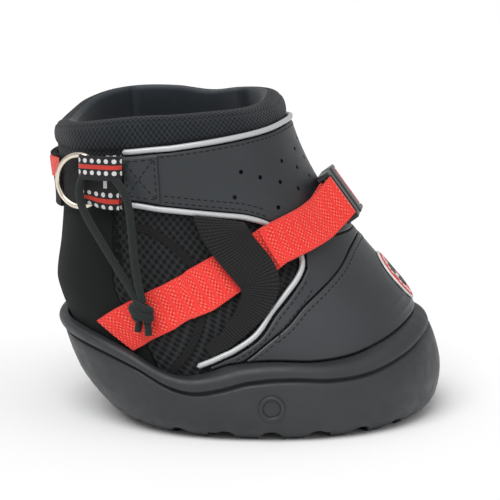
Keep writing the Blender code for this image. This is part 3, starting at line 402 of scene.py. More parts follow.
class Finish:
    # a material; colours in ramps are given as shares of its own colour or in full
    socketNames = {"metallic": "Metallic", "sheen": "Sheen Weight", "sheenRoughness": "Sheen Roughness",
                   "coat": "Coat Weight", "coatRoughness": "Coat Roughness",
                   "specular": "Specular IOR Level"}

    def __init__(self, name, colour, roughness, **values):
        self.material = bpy.data.materials.new(name)
        self.material.use_nodes = True
        self.tree, self.colour = self.material.node_tree, colour
        self.inputs = self.tree.nodes["Principled BSDF"].inputs
        self.inputs["Base Color"].default_value = (*colour, 1.0)
        self.inputs["Roughness"].default_value = roughness
        for socket, value in values.items():
            self.inputs[self.socketNames[socket]].default_value = value

    def body(self):
        return addNode(self.tree, "TexCoord").outputs["Object"]

    def flat(self):
        return addNode(self.tree, "UVMap", uv_map="flat").outputs[0]

    def split(self):
        return addNode(self.tree, "SeparateXYZ", {0: self.flat()}).outputs[:2]

    def scaled(self, wide, high=None, turn=0.0):
        return addNode(self.tree, "Mapping", {
            "Vector": self.flat(), "Scale": (1 / wide, 1 / (high or wide), 1.0),
            "Rotation": (0, 0, math.radians(turn))}).outputs[0]

    def math(self, operation, a, b=0.0):
        return addNode(self.tree, "Math", {0: a, 1: b}, operation=operation).outputs[0]

    def mixed(self, a, b, share):
        return self.math("ADD", a, self.math("MULTIPLY", b, share))

    def noise(self, vector, scale, detail=2.0):
        return addNode(self.tree, "TexNoise", {"Vector": vector, "Scale": scale,
                                               "Detail": detail}).outputs["Fac"]

    def cells(self, vector, scale=1.0, randomness=0.0):
        return addNode(self.tree, "TexVoronoi", {"Vector": vector, "Scale": scale,
                                                 "Randomness": randomness}).outputs["Distance"]

    def ramp(self, factor, *stops):
        made = addNode(self.tree, "ValToRGB", {"Fac": factor})
        elements = made.color_ramp.elements
        while len(elements) < len(stops):
            elements.new(0.5)
        for element, (place, colour) in zip(elements, stops):
            element.position = place
            element.color = (*(colour if isinstance(colour, tuple) else shaded(self.colour, colour)), 1.0)
        return made.outputs["Color"]

    def rescale(self, value, fromLow, fromHigh, toLow, toHigh):
        return addNode(self.tree, "MapRange", {
            "Value": value, "From Min": fromLow, "From Max": fromHigh, "To Min": toLow,
            "To Max": toHigh}).outputs["Result"]

    def tint(self, colour, factor, other):
        return addNode(self.tree, "Mix", {0: factor, 6: colour, 7: (*other, 1.0)},
                       data_type="RGBA").outputs[2]

    def paint(self, colour, height=None, distance=0.0, strength=1.0, below=None):
        self.tree.links.new(colour, self.inputs["Base Color"])
        if height:
            self.bump(height, distance, strength, below)
        return self.material

    def wear(self, place, scale, low, high):
        spots = self.noise(place, scale, 3.0)
        self.tree.links.new(self.rescale(spots, 0.3, 0.7, low, high), self.inputs["Roughness"])

    def bump(self, height, distance, strength, below=None):
        inputs = {"Height": height, "Distance": distance, "Strength": strength}
        if below:
            inputs["Normal"] = below
        normal = addNode(self.tree, "Bump", inputs).outputs["Normal"]
        self.tree.links.new(normal, self.inputs["Normal"])
        return normal


# Camera and light

cameraSettings = {
    "position": (0.0062, -0.806, 0.207), "target": (-0.0100, 0.0, 0.0745), "lens": 122.0,
    "sensor": 36.0, "nearest": 0.02,
}
lightSettings = {
    "worldStrength": 0.55, "white": (1.0, 1.0, 1.0, 1.0), "floorColour": (0.94, 0.94, 0.94),
    "floorSize": 6.0,
    # strength, where it comes from and its softness in degrees
    "key": (1.90, (-0.35, -0.80, 1.30), 45.0), "fill": (0.35, (0.90, -0.90, 0.90), 60.0),
}


def lookAlong(thing, place, way):
    thing.location = place
    thing.rotation_euler = Vector(way).to_track_quat("-Z", "Y").to_euler()


def makeCamera():
    s = cameraSettings
    data = bpy.data.cameras.new("camera")
    data.lens, data.sensor_width, data.clip_start = s["lens"], s["sensor"], s["nearest"]
    camera = looseObject("camera", data)
    lookAlong(camera, s["position"], Vector(s["target"]) - Vector(s["position"]))
    bpy.context.scene.camera = camera


def makeStage():
    s = lightSettings
    bpy.context.scene.view_settings.view_transform = "Standard"
    world = bpy.data.worlds.new("studio")
    bpy.context.scene.world = world
    world.use_nodes = True
    tree = world.node_tree
    background = tree.nodes["Background"]
    background.inputs["Color"].default_value = s["white"]
    background.inputs["Strength"].default_value = s["worldStrength"]
    seen = addNode(tree, "Background", {"Color": s["white"], "Strength": 1.0})
    path = addNode(tree, "LightPath")
    mix = addNode(tree, "MixShader", {0: path.outputs["Is Camera Ray"], 1: background.outputs[0],
                                      2: seen.outputs[0]})
    tree.links.new(mix.outputs[0], tree.nodes["World Output"].inputs["Surface"])
    for name in ("key", "fill"):
        lamp = bpy.data.lights.new(name, "SUN")
        lamp.energy, place, softness = s[name]
        lamp.angle = math.radians(softness)
        lookAlong(looseObject(name, lamp), place, -Vector(place))
    shape = bmesh.new()
    bmesh.ops.create_grid(shape, x_segments=1, y_segments=1, size=s["floorSize"])
    floor = looseObject("floor", meshFrom("floor", shape, closed=False))
    floor.data.materials.append(Finish("studioFloor", s["floorColour"], 0.9, specular=0.0).material)


makeCamera()
makeStage()
print("camera and stage made")


# Finishes

def plainFinish(name, colour, roughness, tone, wear=None, grain=None, **values):
    f = Finish(name, colour, roughness, **values)
    place = f.body()
    scale, detail, dark, light = tone
    if wear:
        f.wear(place, wear[0], roughness - wear[1], roughness + wear[2])
    if grain:
        f.bump(f.noise(place, *grain[:2]), *grain[2:])
    return f.paint(f.ramp(f.noise(place, scale, detail), (0.3, dark), (0.7, light)))


def leatherFinish(name, colour, roughness):
    f = Finish(name, colour, roughness, specular=0.5, coat=0.12, coatRoughness=0.35)
    place = f.body()
    grain = f.cells(place, 1350.0, 0.9)
    tone = f.ramp(f.noise(place, 22.0, 3.0), (0.3, 0.85), (0.72, 1.15))
    f.wear(place, 70.0, roughness - 0.06, roughness + 0.08)
    lumps = f.bump(f.noise(place, 55.0), 0.0005, 0.35)
    return f.paint(f.tint(tone, f.rescale(grain, 0.0, 0.9, 0.25, 0.0), shaded(colour, 0.6)),
                   grain, 0.00009, 0.6, lumps)


def knitFinish(name, colour, pitch, depth, turn=45.0, light=1.7, hole=0.35, soft=0.12, sheen=0.25):
    # a mesh or knit of small cells on the flat pattern; its holes are painted darker as shade and the raised
    # threads between them lighter as painted highlight
    f = Finish(name, colour, 0.9, sheen=sheen, sheenRoughness=0.5, specular=0.2)
    cell = f.cells(f.scaled(pitch, turn=turn))
    # painted shade in the holes, and painted highlight rising to the light share on the thread crests
    tone = f.ramp(f.mixed(cell, f.noise(f.scaled(9.0), 1.0), 0.12), (hole - soft, 0.35),
                  (hole + soft, 1.0), (0.72, light))
    return f.paint(tone, f.rescale(cell, hole * 0.4, 0.6, 0.0, 1.0), depth, 0.8)


def ribFinish(name, colour, pitch, depth, sheen):
    # webbing with ribs across it and fine yarns along it, painted darker in the troughs as shade and lighter
    # on the crests as highlight
    f = Finish(name, colour, 0.85, sheen=sheen, specular=0.25)
    ribs, yarns = (f.math("SINE", f.math("MULTIPLY", place, 2 * math.pi / step))
                   for place, step in zip(f.split(), (pitch, 0.75 * pitch)))
    height = f.math("ADD", f.math("MULTIPLY", ribs, 0.7), f.math("MULTIPLY", yarns, 0.3))
    # the colour follows the height: painted shade low down, painted highlight on top
    tone = f.ramp(f.rescale(height, -1.0, 1.0, 0.0, 1.0), (0.1, 0.4), (0.55, 1.0), (1.0, 1.8))
    return f.paint(tone, height, depth, 0.8)


def redWebbingFinish():
    # dark is painted shade in the grooves of the weave; the third colour, orange, is painted highlight on
    # its peaks
    dark, red, crestHighlight = (0.28, 0.006, 0.008), (0.78, 0.034, 0.026), (0.98, 0.20, 0.13)
    f = Finish("redWebbing", red, 0.6, sheen=0.12, sheenRoughness=0.4, specular=0.3)
    cell = f.cells(f.scaled(1.55, 1.15, 45.0))
    along, across = f.split()
    zigzag = f.mixed(along, f.math("PINGPONG", across, 3.4), 0.9)
    diagonal = f.math("SINE", f.math("MULTIPLY", zigzag, 4.2))
    height = f.mixed(f.math("SUBTRACT", 1.0, cell), diagonal, 0.16)
    # grooves painted dark as shade, peaks painted orange as highlight
    tone = f.ramp(f.mixed(height, f.noise(f.scaled(7.0), 1.0), 0.1),
                  (0.22, dark), (0.52, red), (0.86, red), (1.0, crestHighlight))
    return f.paint(tone, height, 0.00035, 0.9)


def tapeFinish():
    # black tape with rows of pale dots and a red stripe along each edge, in millimetres
    black, red, white = (0.012, 0.012, 0.014), (0.62, 0.045, 0.03), (0.75, 0.75, 0.74)
    dotPitch, dotRadius, outerRow, innerRow = 3.6, 1.02, 10.3, 5.0
    stripe, stripeHalf, squareAt, squareWide, squareLong = 7.6, 0.95, 33.5, 2.2, 0.9
    f = Finish("patternTape", black, 0.75, sheen=0.15, specular=0.25)
    along, across = f.split()
    across = f.math("ABSOLUTE", across)
    nearest = f.math("POWER", f.math("PINGPONG", along, dotPitch / 2), 2.0)

    def away(place, centre):
        return f.math("ABSOLUTE", f.math("SUBTRACT", place, centre))

    def within(place, centre, half):
        return f.math("LESS_THAN", away(place, centre), half)

    def dots(centre):
        reach = f.math("ADD", nearest, f.math("POWER", away(across, centre), 2.0))
        return f.math("LESS_THAN", reach, dotRadius ** 2)

    square = f.math("MULTIPLY", within(across, 0.0, squareWide), within(along, squareAt, squareLong))
    pale = f.math("MAXIMUM", f.math("MAXIMUM", dots(outerRow), dots(innerRow)), square)
    colour = f.tint((*black, 1.0), within(across, stripe, stripeHalf), red)
    weave = f.cells(f.scaled(0.7, turn=45.0))
    colour = f.tint(f.tint(colour, pale, white), f.rescale(weave, 0.15, 0.7, 0.0, 0.45), black)
    return f.paint(colour, weave, 0.00015, 0.7)


def pipingFinish():
    f = Finish("silverPiping", (0.50, 0.51, 0.52), 0.38, specular=0.6, metallic=0.25, coat=0.2,
               coatRoughness=0.3)
    beads = f.noise(f.flat(), 6.0)
    return f.paint(f.ramp(beads, (0.3, 0.72), (0.7, 1.2)), beads, 0.00006, 0.6)


def labelFinish(name, colour):
    return plainFinish(name, colour, 0.5, (300.0, 2.0, 0.88, 1.1), None, (2200.0, 2.0, 0.00003, 0.4),
                       specular=0.35)


finishes = {
    "sole": plainFinish("soleRubber", (0.021, 0.024, 0.027), 0.50, (34.0, 3.0, 0.82, 1.18),
                        (160.0, 0.07, 0.09), (1500.0, 3.0, 0.00006, 0.5), specular=0.5),
    "insole": knitFinish("insoleCloth", (0.050, 0.050, 0.055), 1.4, 0.0002),
    "lining": knitFinish("liningKnit", (0.020, 0.025, 0.031), 0.9, 0.00015, hole=0.25),
    "stiffener": knitFinish("stiffCloth", (0.045, 0.045, 0.045), 1.0, 0.0001, turn=0.0),
    "mesh": knitFinish("sideMesh", (0.013, 0.014, 0.015), 3.0, 0.0008, light=2.0, hole=0.34, soft=0.05,
                       sheen=0.05),
    "heel": knitFinish("heelCloth", (0.005, 0.006, 0.006), 1.0, 0.00015, hole=0.2, light=2.2,
                       sheen=0.02),
    "toeLeather": leatherFinish("toeLeather", (0.023, 0.027, 0.031), 0.40),
    "leather": leatherFinish("collarLeather", (0.016, 0.020, 0.024), 0.44),
    "collarMesh": knitFinish("collarMesh", (0.015, 0.018, 0.022), 1.7, 0.0004, hole=0.36, sheen=0.12),
    "piping": pipingFinish(),
    "white": labelFinish("badgeWhite", (0.70, 0.70, 0.69)),
    "red": labelFinish("badgeRed", (0.62, 0.045, 0.035)),
    "grey": labelFinish("badgeGrey", (0.045, 0.048, 0.052)),
    "band": ribFinish("ribbedBand", (0.012, 0.012, 0.013), 1.2, 0.0003, 0.08),
    "webbing": ribFinish("blackWebbing", (0.009, 0.009, 0.010), 0.9, 0.0002, 0.04),
    "redWebbing": redWebbingFinish(),
    "plastic": plainFinish("bucklePlastic", (0.010, 0.011, 0.012), 0.30, (90.0, 2.0, 0.85, 1.2),
                           (240.0, 0.06, 0.08), (2600.0, 2.0, 0.00003, 0.5), specular=0.5),
    "tape": tapeFinish(),
    "ring": plainFinish("platedRing", (0.80, 0.72, 0.60), 0.18, (260.0, 3.0, 0.85, 1.12),
                        (500.0, 0.06, 0.10), metallic=1.0),
    "cord": knitFinish("cordBraid", (0.017, 0.022, 0.021), 0.9, 0.00025, hole=0.3, sheen=0.08),
    "thread": ribFinish("darkThread", (0.010, 0.010, 0.011), 0.4, 0.00005, 0.05),
}
print("finishes made")


# Pull cord, first because its room is measured

tabSettings = {"angle": -117.5, "heightShare": 0.760, "width": 0.024, "thickness": 0.0011,
               "length": 0.0185, "foldMiddle": 0.0033, "foldRadius": 0.00215,
               "keeperHalf": 0.0105, "keeperMiddle": -0.0016, "keeperLow": 0.0016,
               "keeperHigh": 0.0126, "keeperFoot": 0.0064, "keeperArch": 0.0042,
               "keeperThickness": 0.0008, "keeperShift": 7.1}
cordSettings = {"diameter": 0.0036, "knotRadius": 0.0055, "wraps": 2.25, "wrapRadius": 0.0040,
                "wrapRise": 0.0031, "wrapTilt": 0.35, "wrapFlat": 0.72, "wrapSwell": 1.24,
                "knotShift": (0.0010, 0.0010, 0.0), "tailSwell": 0.9, "tailLean": 0.0004}
# Routes of the two strands in the tab's frame: backwards, up and outwards
cordLeft = (
    (0.0066, 0.0026, 0.0086), (0.0074, 0.0002, 0.0090), (0.0080, -0.0030, 0.0094),
    (0.0072, -0.0090, 0.0096), (0.0040, -0.0155, 0.0096), (-0.0046, -0.0280, 0.0096),
    (-0.0141, -0.0410, 0.0096), (-0.0215, -0.0515, 0.0096),
)
cordRight = (
    (-0.0096, 0.0026, 0.0086), (-0.0123, 0.0002, 0.0090), (-0.0147, -0.0028, 0.0094),
    (-0.0172, -0.0085, 0.0096), (-0.0188, -0.0195, 0.0096), (-0.0198, -0.0310, 0.0096),
    (-0.0220, -0.0440, 0.0096), (-0.0243, -0.0520, 0.0096),
)
knotCentre = (-0.0245, -0.0570, 0.0096)


def tabFrame():
    height = tabSettings["heightShare"] * boot["height"]
    point, along, up, normal = surfaceFrames(upperSections, tabSettings["angle"], height)
    flat = unit((normal[0], normal[1], 0.0))
    return placeFrame(point, (flat[1], -flat[0], 0.0), (0.0, 0.0, 1.0), flat)


def smoothRoute(points, count):
    # even points along a smooth curve through a route's own points
    table = [(i, *point) for i, point in enumerate(points)]
    places = np.linspace(0, len(points) - 1, 60 * len(points))
    fine = np.stack([smoothCurve(table, places, column) for column in (1, 2, 3)], axis=-1)
    lengths = evenLengths(fine)
    return readAlong(np.linspace(0, lengths[-1], count), lengths, fine)


def makeCords():
    diameter = cordSettings["diameter"]
    for name, node, route in (("cordStrandBack", "elastic_cord_left", cordLeft),
                              ("cordStrandFront", "elastic_cord_right", cordRight)):
        path = inFrame(tabFrame(), smoothRoute(route, 60))
        mesh = gridMesh(name, *tubeGrid(path, diameter / 2, 16))
        addPiece(name, mesh, "cord", node, "pull_cord", 60)
    knot = makeKnot()


def makeKnot():
    # both strands wrapped into a ball, with two short tails
    s = cordSettings
    radius, thick, place = s["knotRadius"], s["diameter"] / 2, tabFrame()
    centre = np.array(knotCentre)
    share = np.linspace(0, 1, 160)
    turn = 2 * math.pi * s["wraps"] * share
    swell = s["wrapRadius"] * np.sqrt(1 - 0.85 * (2 * share - 1) ** 2)
    wraps = np.stack((swell * np.cos(turn),
                      s["wrapRise"] * (1 - 2 * share) + s["wrapTilt"] * swell * np.cos(turn),
                      s["wrapFlat"] * swell * np.sin(turn)), axis=-1)
    shape = bmesh.new()
    addGrid(shape, *tubeGrid(inFrame(place, centre + s["knotShift"] + wraps), thick * s["wrapSwell"]))
    for side, drop in ((-1, 1.55), (1, 1.30)):
        start = centre + np.array((side * 0.30, -0.15, 0.0)) * radius
        step = np.array((side * 0.22 * radius, -drop * radius, s["tailLean"]))
        line = start + step * np.linspace(0, 1, 12)[:, None]
        addGrid(shape, *tubeGrid(inFrame(place, line), thick * s["tailSwell"]))
    return addPiece("cordKnot", meshFrom("cordKnot", shape), "cord", "cord_knot",
                    "pull_cord", 60)


makeCords()
print("cords made")


# Sole

soleSettings = {
    "thickness": 0.010, "grooveDepth": 0.0018, "beadHeight": 0.0070, "beadOverhang": 0.0008,
    "clearance": 0.0004, "sideShare": 0.053, "lugPitch": 0.0205, "notchRadius": 0.0062,
    "notchDepth": 0.0046, "notchReach": 0.016, "channelWidth": 0.005, "channelDepth": 0.0035,
    "channelLength": 0.4, "channelX": 0.025, "channelY": 0.022, "ringAngle": 88.0,
    "ringHeight": 0.01605, "ringRadius": 0.0060, "ringWire": 0.0011, "columns": 288,
}


def rimHeight(angles):
    return lineHeight(grooveLine, angles) + soleSettings["beadHeight"]


def makeSole():
    s = soleSettings
    angles = allRound(s["columns"])
    groove, rim = lineHeight(grooveLine, angles), rimHeight(angles)
    side, deep = s["sideShare"] * boot["height"], s["grooveDepth"]
    rings = [(height, 0.0, cupSections) for height in (0.0, 0.0006, 0.0015, 0.003, 0.0055)]
    rings += [(side + (groove - deep - side) * share, 0.0, cupSections)
              for share in np.linspace(0.0, 1.0, 9)]
    rings += [(groove + rise * deep, -deep * depth, cupSections) for rise, depth in (
        (-0.55, 0.25), (-0.32, 0.75), (0.0, 1.0), (0.32, 0.80), (0.60, 0.20))]
    rings += [(groove + s["beadHeight"] * share, s["beadOverhang"] * out, cupSections)
              for share, out in ((0.20, 0.55), (0.32, 0.95), (0.48, 1.1), (0.64, 0.95),
                                 (0.78, 0.45), (0.89, -0.35), (0.96, -1.3))]
    rings.append((rim, 2 * s["clearance"], upperSections))
    rings += [(rim + (s["thickness"] - rim) * share, s["clearance"], upperSections)
              for share in np.linspace(0.0, 1.0, 7)[1:]]
    points = np.array([levelPoints(sections, angles, heights, offset)
                       for heights, offset, sections in rings])
    sole = addPiece("soleCup", gridMesh("soleCup", points), "sole", "outsole")
    cutWith(sole, "lugCutter", lugShape(), 38)
    for place, size in (((s["channelX"], 0, 0), (s["channelWidth"], s["channelLength"])),
                        ((0, s["channelY"], 0), (s["channelLength"], s["channelWidth"]))):
        shape = bmesh.new()
        for sign in (-1, 1):
            bmesh.ops.create_cube(shape, size=1.0, matrix=Matrix.Translation(sign * Vector(place))
                                  @ Matrix.Diagonal((*size, 2 * s["channelDepth"], 1)))
        cutWith(sole, "channelCutter", shape, 38)
    turns = fullTurn(72)[:, None]
    for sign, name in ((-1, "mouldedRingNear"), (1, "mouldedRingFar")):
        point, along, up, normal = surfaceFrames(cupSections, sign * s["ringAngle"], s["ringHeight"])
        ahead, across = unit(along), unit(np.cross(normal, along))
        radius = s["ringRadius"] - s["ringWire"]
        loop = point + radius * (np.cos(turns) * ahead + np.sin(turns) * across)
        tube = tubeGrid(loop, s["ringWire"], 12, np.broadcast_to(normal, loop.shape), closed=True)
        addPiece(name, gridMesh(name, *tube), "sole", "")


def lugShape():
    # rods that cut a scallop between each two lugs
    s = soleSettings
    angles = allRound(1440)
    lengths = evenLengths(sectionPoints(cupSections, angles, 0.0), closed=True)
    count = 2 * max(4, round(lengths[-1] / s["lugPitch"] / 2))
    shape = bmesh.new()
    reach = s["notchReach"] + 0.5 * boot["halfWidth"]
    for i in range(count):
        index = int(np.searchsorted(lengths, (i + 0.5) * lengths[-1] / count)) % len(angles)
        point, along, up, normal = surfaceFrames(cupSections, angles[index], 0.0)
        level = Vector(unit((normal[0], normal[1], 0.0)))
        centre = Vector(point) + level * (0.5 * reach - s["notchReach"])
        centre.z = s["notchDepth"] - s["notchRadius"]
        addRod(shape, centre, level, s["notchRadius"], reach, 40)
    return shape


makeSole()
print("sole made")


# Inside: footbed and lining

insideSettings = {"insoleThickness": 0.0039, "insoleLow": 0.0103, "columns": 240, "liningSeam": 92.0,
                  "seamDepth": 0.00049, "seamWidth": 0.8, "ripple": 0.00036, "rippleTurns": 5,
                  "rippleRise": 90.0, "topDrop": 0.0020, "drawIn": 0.0002}
# share of the way out and share of the thickness
insoleProfile = (
    (0.25, 0.0), (1.0, 0.0), (1.0, 0.10), (1.0, 0.55), (0.995, 0.80), (0.985, 0.95), (0.965, 1.0),
    (0.8, 1.02), (0.5, 0.96), (0.2, 0.94), (0.02, 0.94),
)


def makeInsole():
    s = insideSettings
    reach = layers["liningTop"] - boot["lining"] - 2 * boot["seamGap"]
    edge = levelPoints(upperSections, allRound(s["columns"]), s["insoleLow"], reach)
    centre = np.array((edge[:, 0].mean(), 0.0, 0.0))
    points = np.array([centre + (edge - centre) * inset for inset, rise in insoleProfile])
    points[:, :, 2] = [[s["insoleLow"] + rise * s["insoleThickness"]] for inset, rise in insoleProfile]
    uv = np.concatenate((points[:, :, :2], points[:, :1, :2]), axis=1) * 1000
    addPiece("insolePad", gridMesh("insolePad", points, uv), "insole", "insole", sharp=50)


def makeLining():
    # the inner face sinks a little at its two side seams and ripples between them
    s = insideSettings
    angles = allRound(s["columns"])
    rise = np.linspace(s["insoleLow"], boot["padSeam"] - s["topDrop"], 30)
    heights = np.concatenate((rise, rise[::-1]))[:, None]
    offsets = np.full((60, len(angles)), layers["liningTop"])
    seam = s["seamDepth"] * np.exp(-((np.abs(angles) - s["liningSeam"]) / s["seamWidth"]) ** 2)
    ripple = (s["ripple"] * np.sin(np.radians(angles * s["rippleTurns"]))
              * np.sin(heights[30:] * s["rippleRise"]))
    offsets[30:] += ripple + seam - boot["lining"] - s["drawIn"]
    points = layerPoints(angles, heights, offsets)
    uv = flatUv(evenLengths(points[15], closed=True) * 1000, np.vstack((heights, heights[:1])) * 1000)
    addPiece("liningBootie", gridMesh("liningBootie", points, uv, "torus"), "lining",
             "inner_bootie_front inner_bootie_heel", sharp=60)


makeInsole()
makeLining()
print("inside made")


# Textile panels under the leather

upperSettings = {"toePuffEdge": 47.5, "heelEdge": 114.5, "halfGap": 0.35, "step": 1.25}


def anglesBetween(start, stop, step=upperSettings["step"]):
    return np.linspace(start, stop, max(3, int(abs(stop - start) / step) + 1))


def makeTextiles():
    u = upperSettings
    gap, toe, heel = u["halfGap"], u["toePuffEdge"], u["heelEdge"]
    for name, start, stop, step, rows, finish, node, slot in (
        ("toeStiffener", -toe, toe, 3.0, 14, "stiffener", "toe_puff", "toe_stiffener"),
        ("meshPanelNear", -heel, -toe, u["step"], 60, "mesh", "quarter_mesh_right", "side_mesh"),
        ("meshPanelFar", toe, heel, u["step"], 60, "mesh", "quarter_mesh_left", "side_mesh"),
        ("heelPanel", heel, 360 - heel, u["step"], 60, "heel", "heel_panel", "heel_textile"),
    ):
        panelPiece(name, anglesBetween(start + gap, stop - gap, step), insideSettings["insoleLow"],
                   boot["padSeam"] - insideSettings["topDrop"], layers["textileTop"] - boot["textile"],
                   boot["textile"], rows, finish, node)


makeTextiles()
print("textile panels made")


# Leather: toe cap, the strip behind it and the collar band

leatherSettings = {"front": 45.5, "behind": 51.0, "bandRight": 107.0, "bandLeft": 140.0,
                   "toeRidge": 0.00035, "ridgeWidth": 0.0007, "lowRidge": 0.0045, "highRidge": 0.0085,
                   "edgeRise": 0.0002, "edgeWidth": 0.006}
clear = boot["piping"] + boot["seamGap"]


def betweenLines(angles, table, start, distance):
    # level across the toe, then along a line of piping
    s = leatherSettings
    a = np.abs(angles)
    stop = beside(table, s["behind"], distance)
    slope = start + (stop - start) * (a - s["front"]) / (s["behind"] - s["front"])
    return np.where(a <= s["front"], start, np.where(a < s["behind"], slope, beside(table, a, distance)))


def toeRelief(angles, heights):
    s = leatherSettings
    above = heights - rimHeight(angles)
    fade = np.clip(1.6 - np.abs(angles) / 22.0, 0.0, 1.0)
    ridge = sum(np.exp(-((above - s[name]) / s["ridgeWidth"]) ** 2) for name in ("lowRidge", "highRidge"))
    edge = np.clip(1 - (lineHeight(toeSeam, angles) - heights) / s["edgeWidth"], 0.0, 1.0)
    return s["toeRidge"] * ridge * fade + s["edgeRise"] * edge


def makeLeathers():
    s = leatherSettings
    gap = boot["seamGap"]

    def rim(angles):
        return rimHeight(angles) + gap

    def vampTop(angles):
        return betweenLines(angles, lowerPiping, boot["strapSplit"] - gap / 2, -clear)

    def vampLow(angles):
        return np.maximum(lineHeight(toeSeam, angles) + gap / 2, rim(angles))

    places = np.linspace(40, 100, 601)
    capEdge = places[lineHeight(toeSeam, places) - rim(places) > 2 * gap].max()
    places = np.linspace(60, 96, 361)
    vampEdge = places[vampTop(places) - vampLow(places) > 2 * gap].max()
    cap, vamp = anglesBetween(-capEdge, capEdge), anglesBetween(-vampEdge, vampEdge)
    band = anglesBetween(-s["bandRight"], s["bandLeft"])
    low, thick = layers["leatherLow"], boot["leather"]
    panelPiece("toeCap", cap, rim(cap), lineHeight(toeSeam, cap) - gap / 2, low, thick, 60,
               "toeLeather", "toe_cap", toeRelief)
    panelPiece("vampPanel", vamp, vampLow(vamp), vampTop(vamp), low, thick, 14,
               "leather", "vamp_panel")
    bandLow = betweenLines(band, upperPiping, boot["strapSplit"] + gap / 2, clear)
    panelPiece("collarBand", band, bandLow, beside(topPiping, band, -clear), low, thick, 30,
               "leather", "collar_band")


makeLeathers()
print("leather panels made")


# Padded collar

collarSettings = {"thickness": 0.0085, "bulge": 0.0012, "columns": 360, "flap": (40.0, 112.0),
                  "flapDepth": 0.0032, "ripple": 0.0004, "rippleTurns": 9, "rippleRise": 220.0,
                  "wave": 0.0006, "waveTurns": 4,
                  # the row of faces from which the lining's cloth covers the inside
                  "crest": 27}


def collarFold(angles):
    # the inner face stands in as a flap on the far side, between two creases
    s = collarSettings
    first, last = s["flap"]
    rise = 1 / (1 + np.exp(-(angles - first) / 1.3))
    fall = 1 / (1 + np.exp(-(last - angles) / 1.0))
    crease = np.exp(-((angles - last - 3.0) / 2.5) ** 2) + 0.6 * np.exp(-((angles + 150.0) / 4.0) ** 2)
    return s["flapDepth"] * (rise * fall - 0.4 * crease)


def makeCollarPad():
    s = collarSettings
    angles = allRound(s["columns"])
    thick, seam, outer = s["thickness"], boot["padSeam"], layers["textileTop"]
    middle, shoulder = outer - 0.5 * thick, 0.30 * thick
    top = boot["height"] * smoothCurve(padTop, angles) - shoulder
    low = np.maximum(lineHeight(topPiping, angles) + clear, seam + shoulder)
    steps = [(seam + (low - seam) * share, outer) for share in np.linspace(0, 1, 8)]
    steps += [(low + (top - low) * (1 - math.cos(t)) / 2, outer + s["bulge"] * math.sin(t))
              for t in np.linspace(0, math.pi, 12)[1:-1]]
    steps += [(top + shoulder * math.sin(t), middle + 0.48 * thick * math.cos(t))
              for t in np.linspace(0, math.pi, 16)]
    steps += [(top + (seam - top) * share, outer - thick) for share in np.linspace(0, 1, 10)[1:]]
    heights = np.array([height for height, out in steps])
    offsets = np.array([out for height, out in steps])[:, None]
    inside = np.clip((middle - offsets) / (0.5 * thick), 0.0, 1.0)
    ripple = s["ripple"] * (np.sin(np.radians(angles * s["rippleTurns"] + 30))
                            * np.sin(heights * s["rippleRise"] + np.radians(angles * 2)))
    offsets = offsets - inside * collarFold(angles) + (1 - inside) * ripple
    wave = s["wave"] * np.sin(np.radians(angles * s["waveTurns"] + 40))
    heights = heights + wave * np.clip((heights - seam) / 0.02, 0, 1)
    points = levelPoints(upperSections, angles, heights, offsets)
    up = evenLengths(points[:, 0])
    uv = flatUv(evenLengths(points[10], closed=True) * 1000,
                np.append(up, up[-1] + thick)[:, None] * 1000)
    piece = addPiece("collarRoll", gridMesh("collarRoll", points, uv, "torus"), "collarMesh",
                     "collar_pad", sharp=70)
    piece.data.materials.append(finishes["lining"])
    for i, face in enumerate(piece.data.polygons):
        face.material_index = int(i // s["columns"] >= s["crest"])


makeCollarPad()
print("collar made")


# Reflective piping

def pipingPiece(name, points, normals, node):
    tube = tubeGrid(points, roundedEnds(points, boot["piping"]), up=normals)
    addPiece(name, gridMesh(name, *tube), "piping", node)


def makePipings():
    edges = leatherSettings["bandRight"], leatherSettings["bandLeft"]
    centre = layers["pipingCentre"]
    angles = np.linspace(-edges[0], edges[1], 260)
    pipingPiece("topPiping", *surfaceRow(angles, lineHeight(topPiping, angles), centre), "top_piping")
    apex = upperPiping[0][0]
    places = np.linspace(60, 100, 401)
    lowerEnd = places[lineHeight(lowerPiping, places) > rimHeight(places) + clear].max()
    for side, edge, name, node in ((-1, edges[0], "sidePipingNear", "side_piping_right"),
                                   (1, edges[1], "sidePipingFar", "side_piping_left")):
        upper = np.append(np.linspace(edge, apex + 2, 90), apex)
        lower = np.linspace(apex + 2, lowerEnd, 80)
        heights = np.append(lineHeight(upperPiping, upper), lineHeight(lowerPiping, lower))
        line = surfaceRow(side * np.append(upper, lower), heights, centre)
        pipingPiece(name, *softened(*line, 0.0012), node)


makePipings()
print("pipings made")


# Badge

badgeSettings = {"angle": -1.0, "heightShare": 0.413, "radius": 0.0145, "thickness": 0.0008}
# shares of the radius and of the thickness, and rises over the plate's face
badgePlate = ((0.1, 0.0), (1.0, 0.0), (1.0, 0.5), (0.985, 0.9), (0.96, 1.05), (0.93, 0.9), (0.90, 0.7),
              (0.6, 0.7), (0.3, 0.7), (0.03, 0.7))
badgeRing = ((0.62, 0.0), (0.89, 0.0), (0.89, 0.0003), (0.87, 0.0004), (0.64, 0.0004), (0.62, 0.0003))
# four plain arcs in the middle and short marks round the ring: inner and outer share, half
# the turn, points, bottom and top, and where each one is
badgeArcs = (
    ("badgeArcs", "grey", 0.24, 0.50, 30, 14, 0.0, 0.0004, range(45, 360, 90)),
    ("badgeMarks", "white", 0.70, 0.81, 4.5, 4, 0.0003, 0.00055, [t for t in range(0, 360, 15) if t % 180]),
)


def badgePoints(radii, offsets, turns):
    # steps on the curved toe from the badge's middle, sideways and up
    s = badgeSettings
    height = s["heightShare"] * boot["height"]
    point, along, up, normal = surfaceFrames(upperSections, s["angle"], height)
    radii = s["radius"] * np.array(radii)[:, None]
    return layerPoints(s["angle"] + radii * np.cos(turns) / np.linalg.norm(along),
                       height + radii * np.sin(turns) / np.linalg.norm(up),
                       np.broadcast_to(np.array(offsets)[:, None], (len(radii), len(turns))))


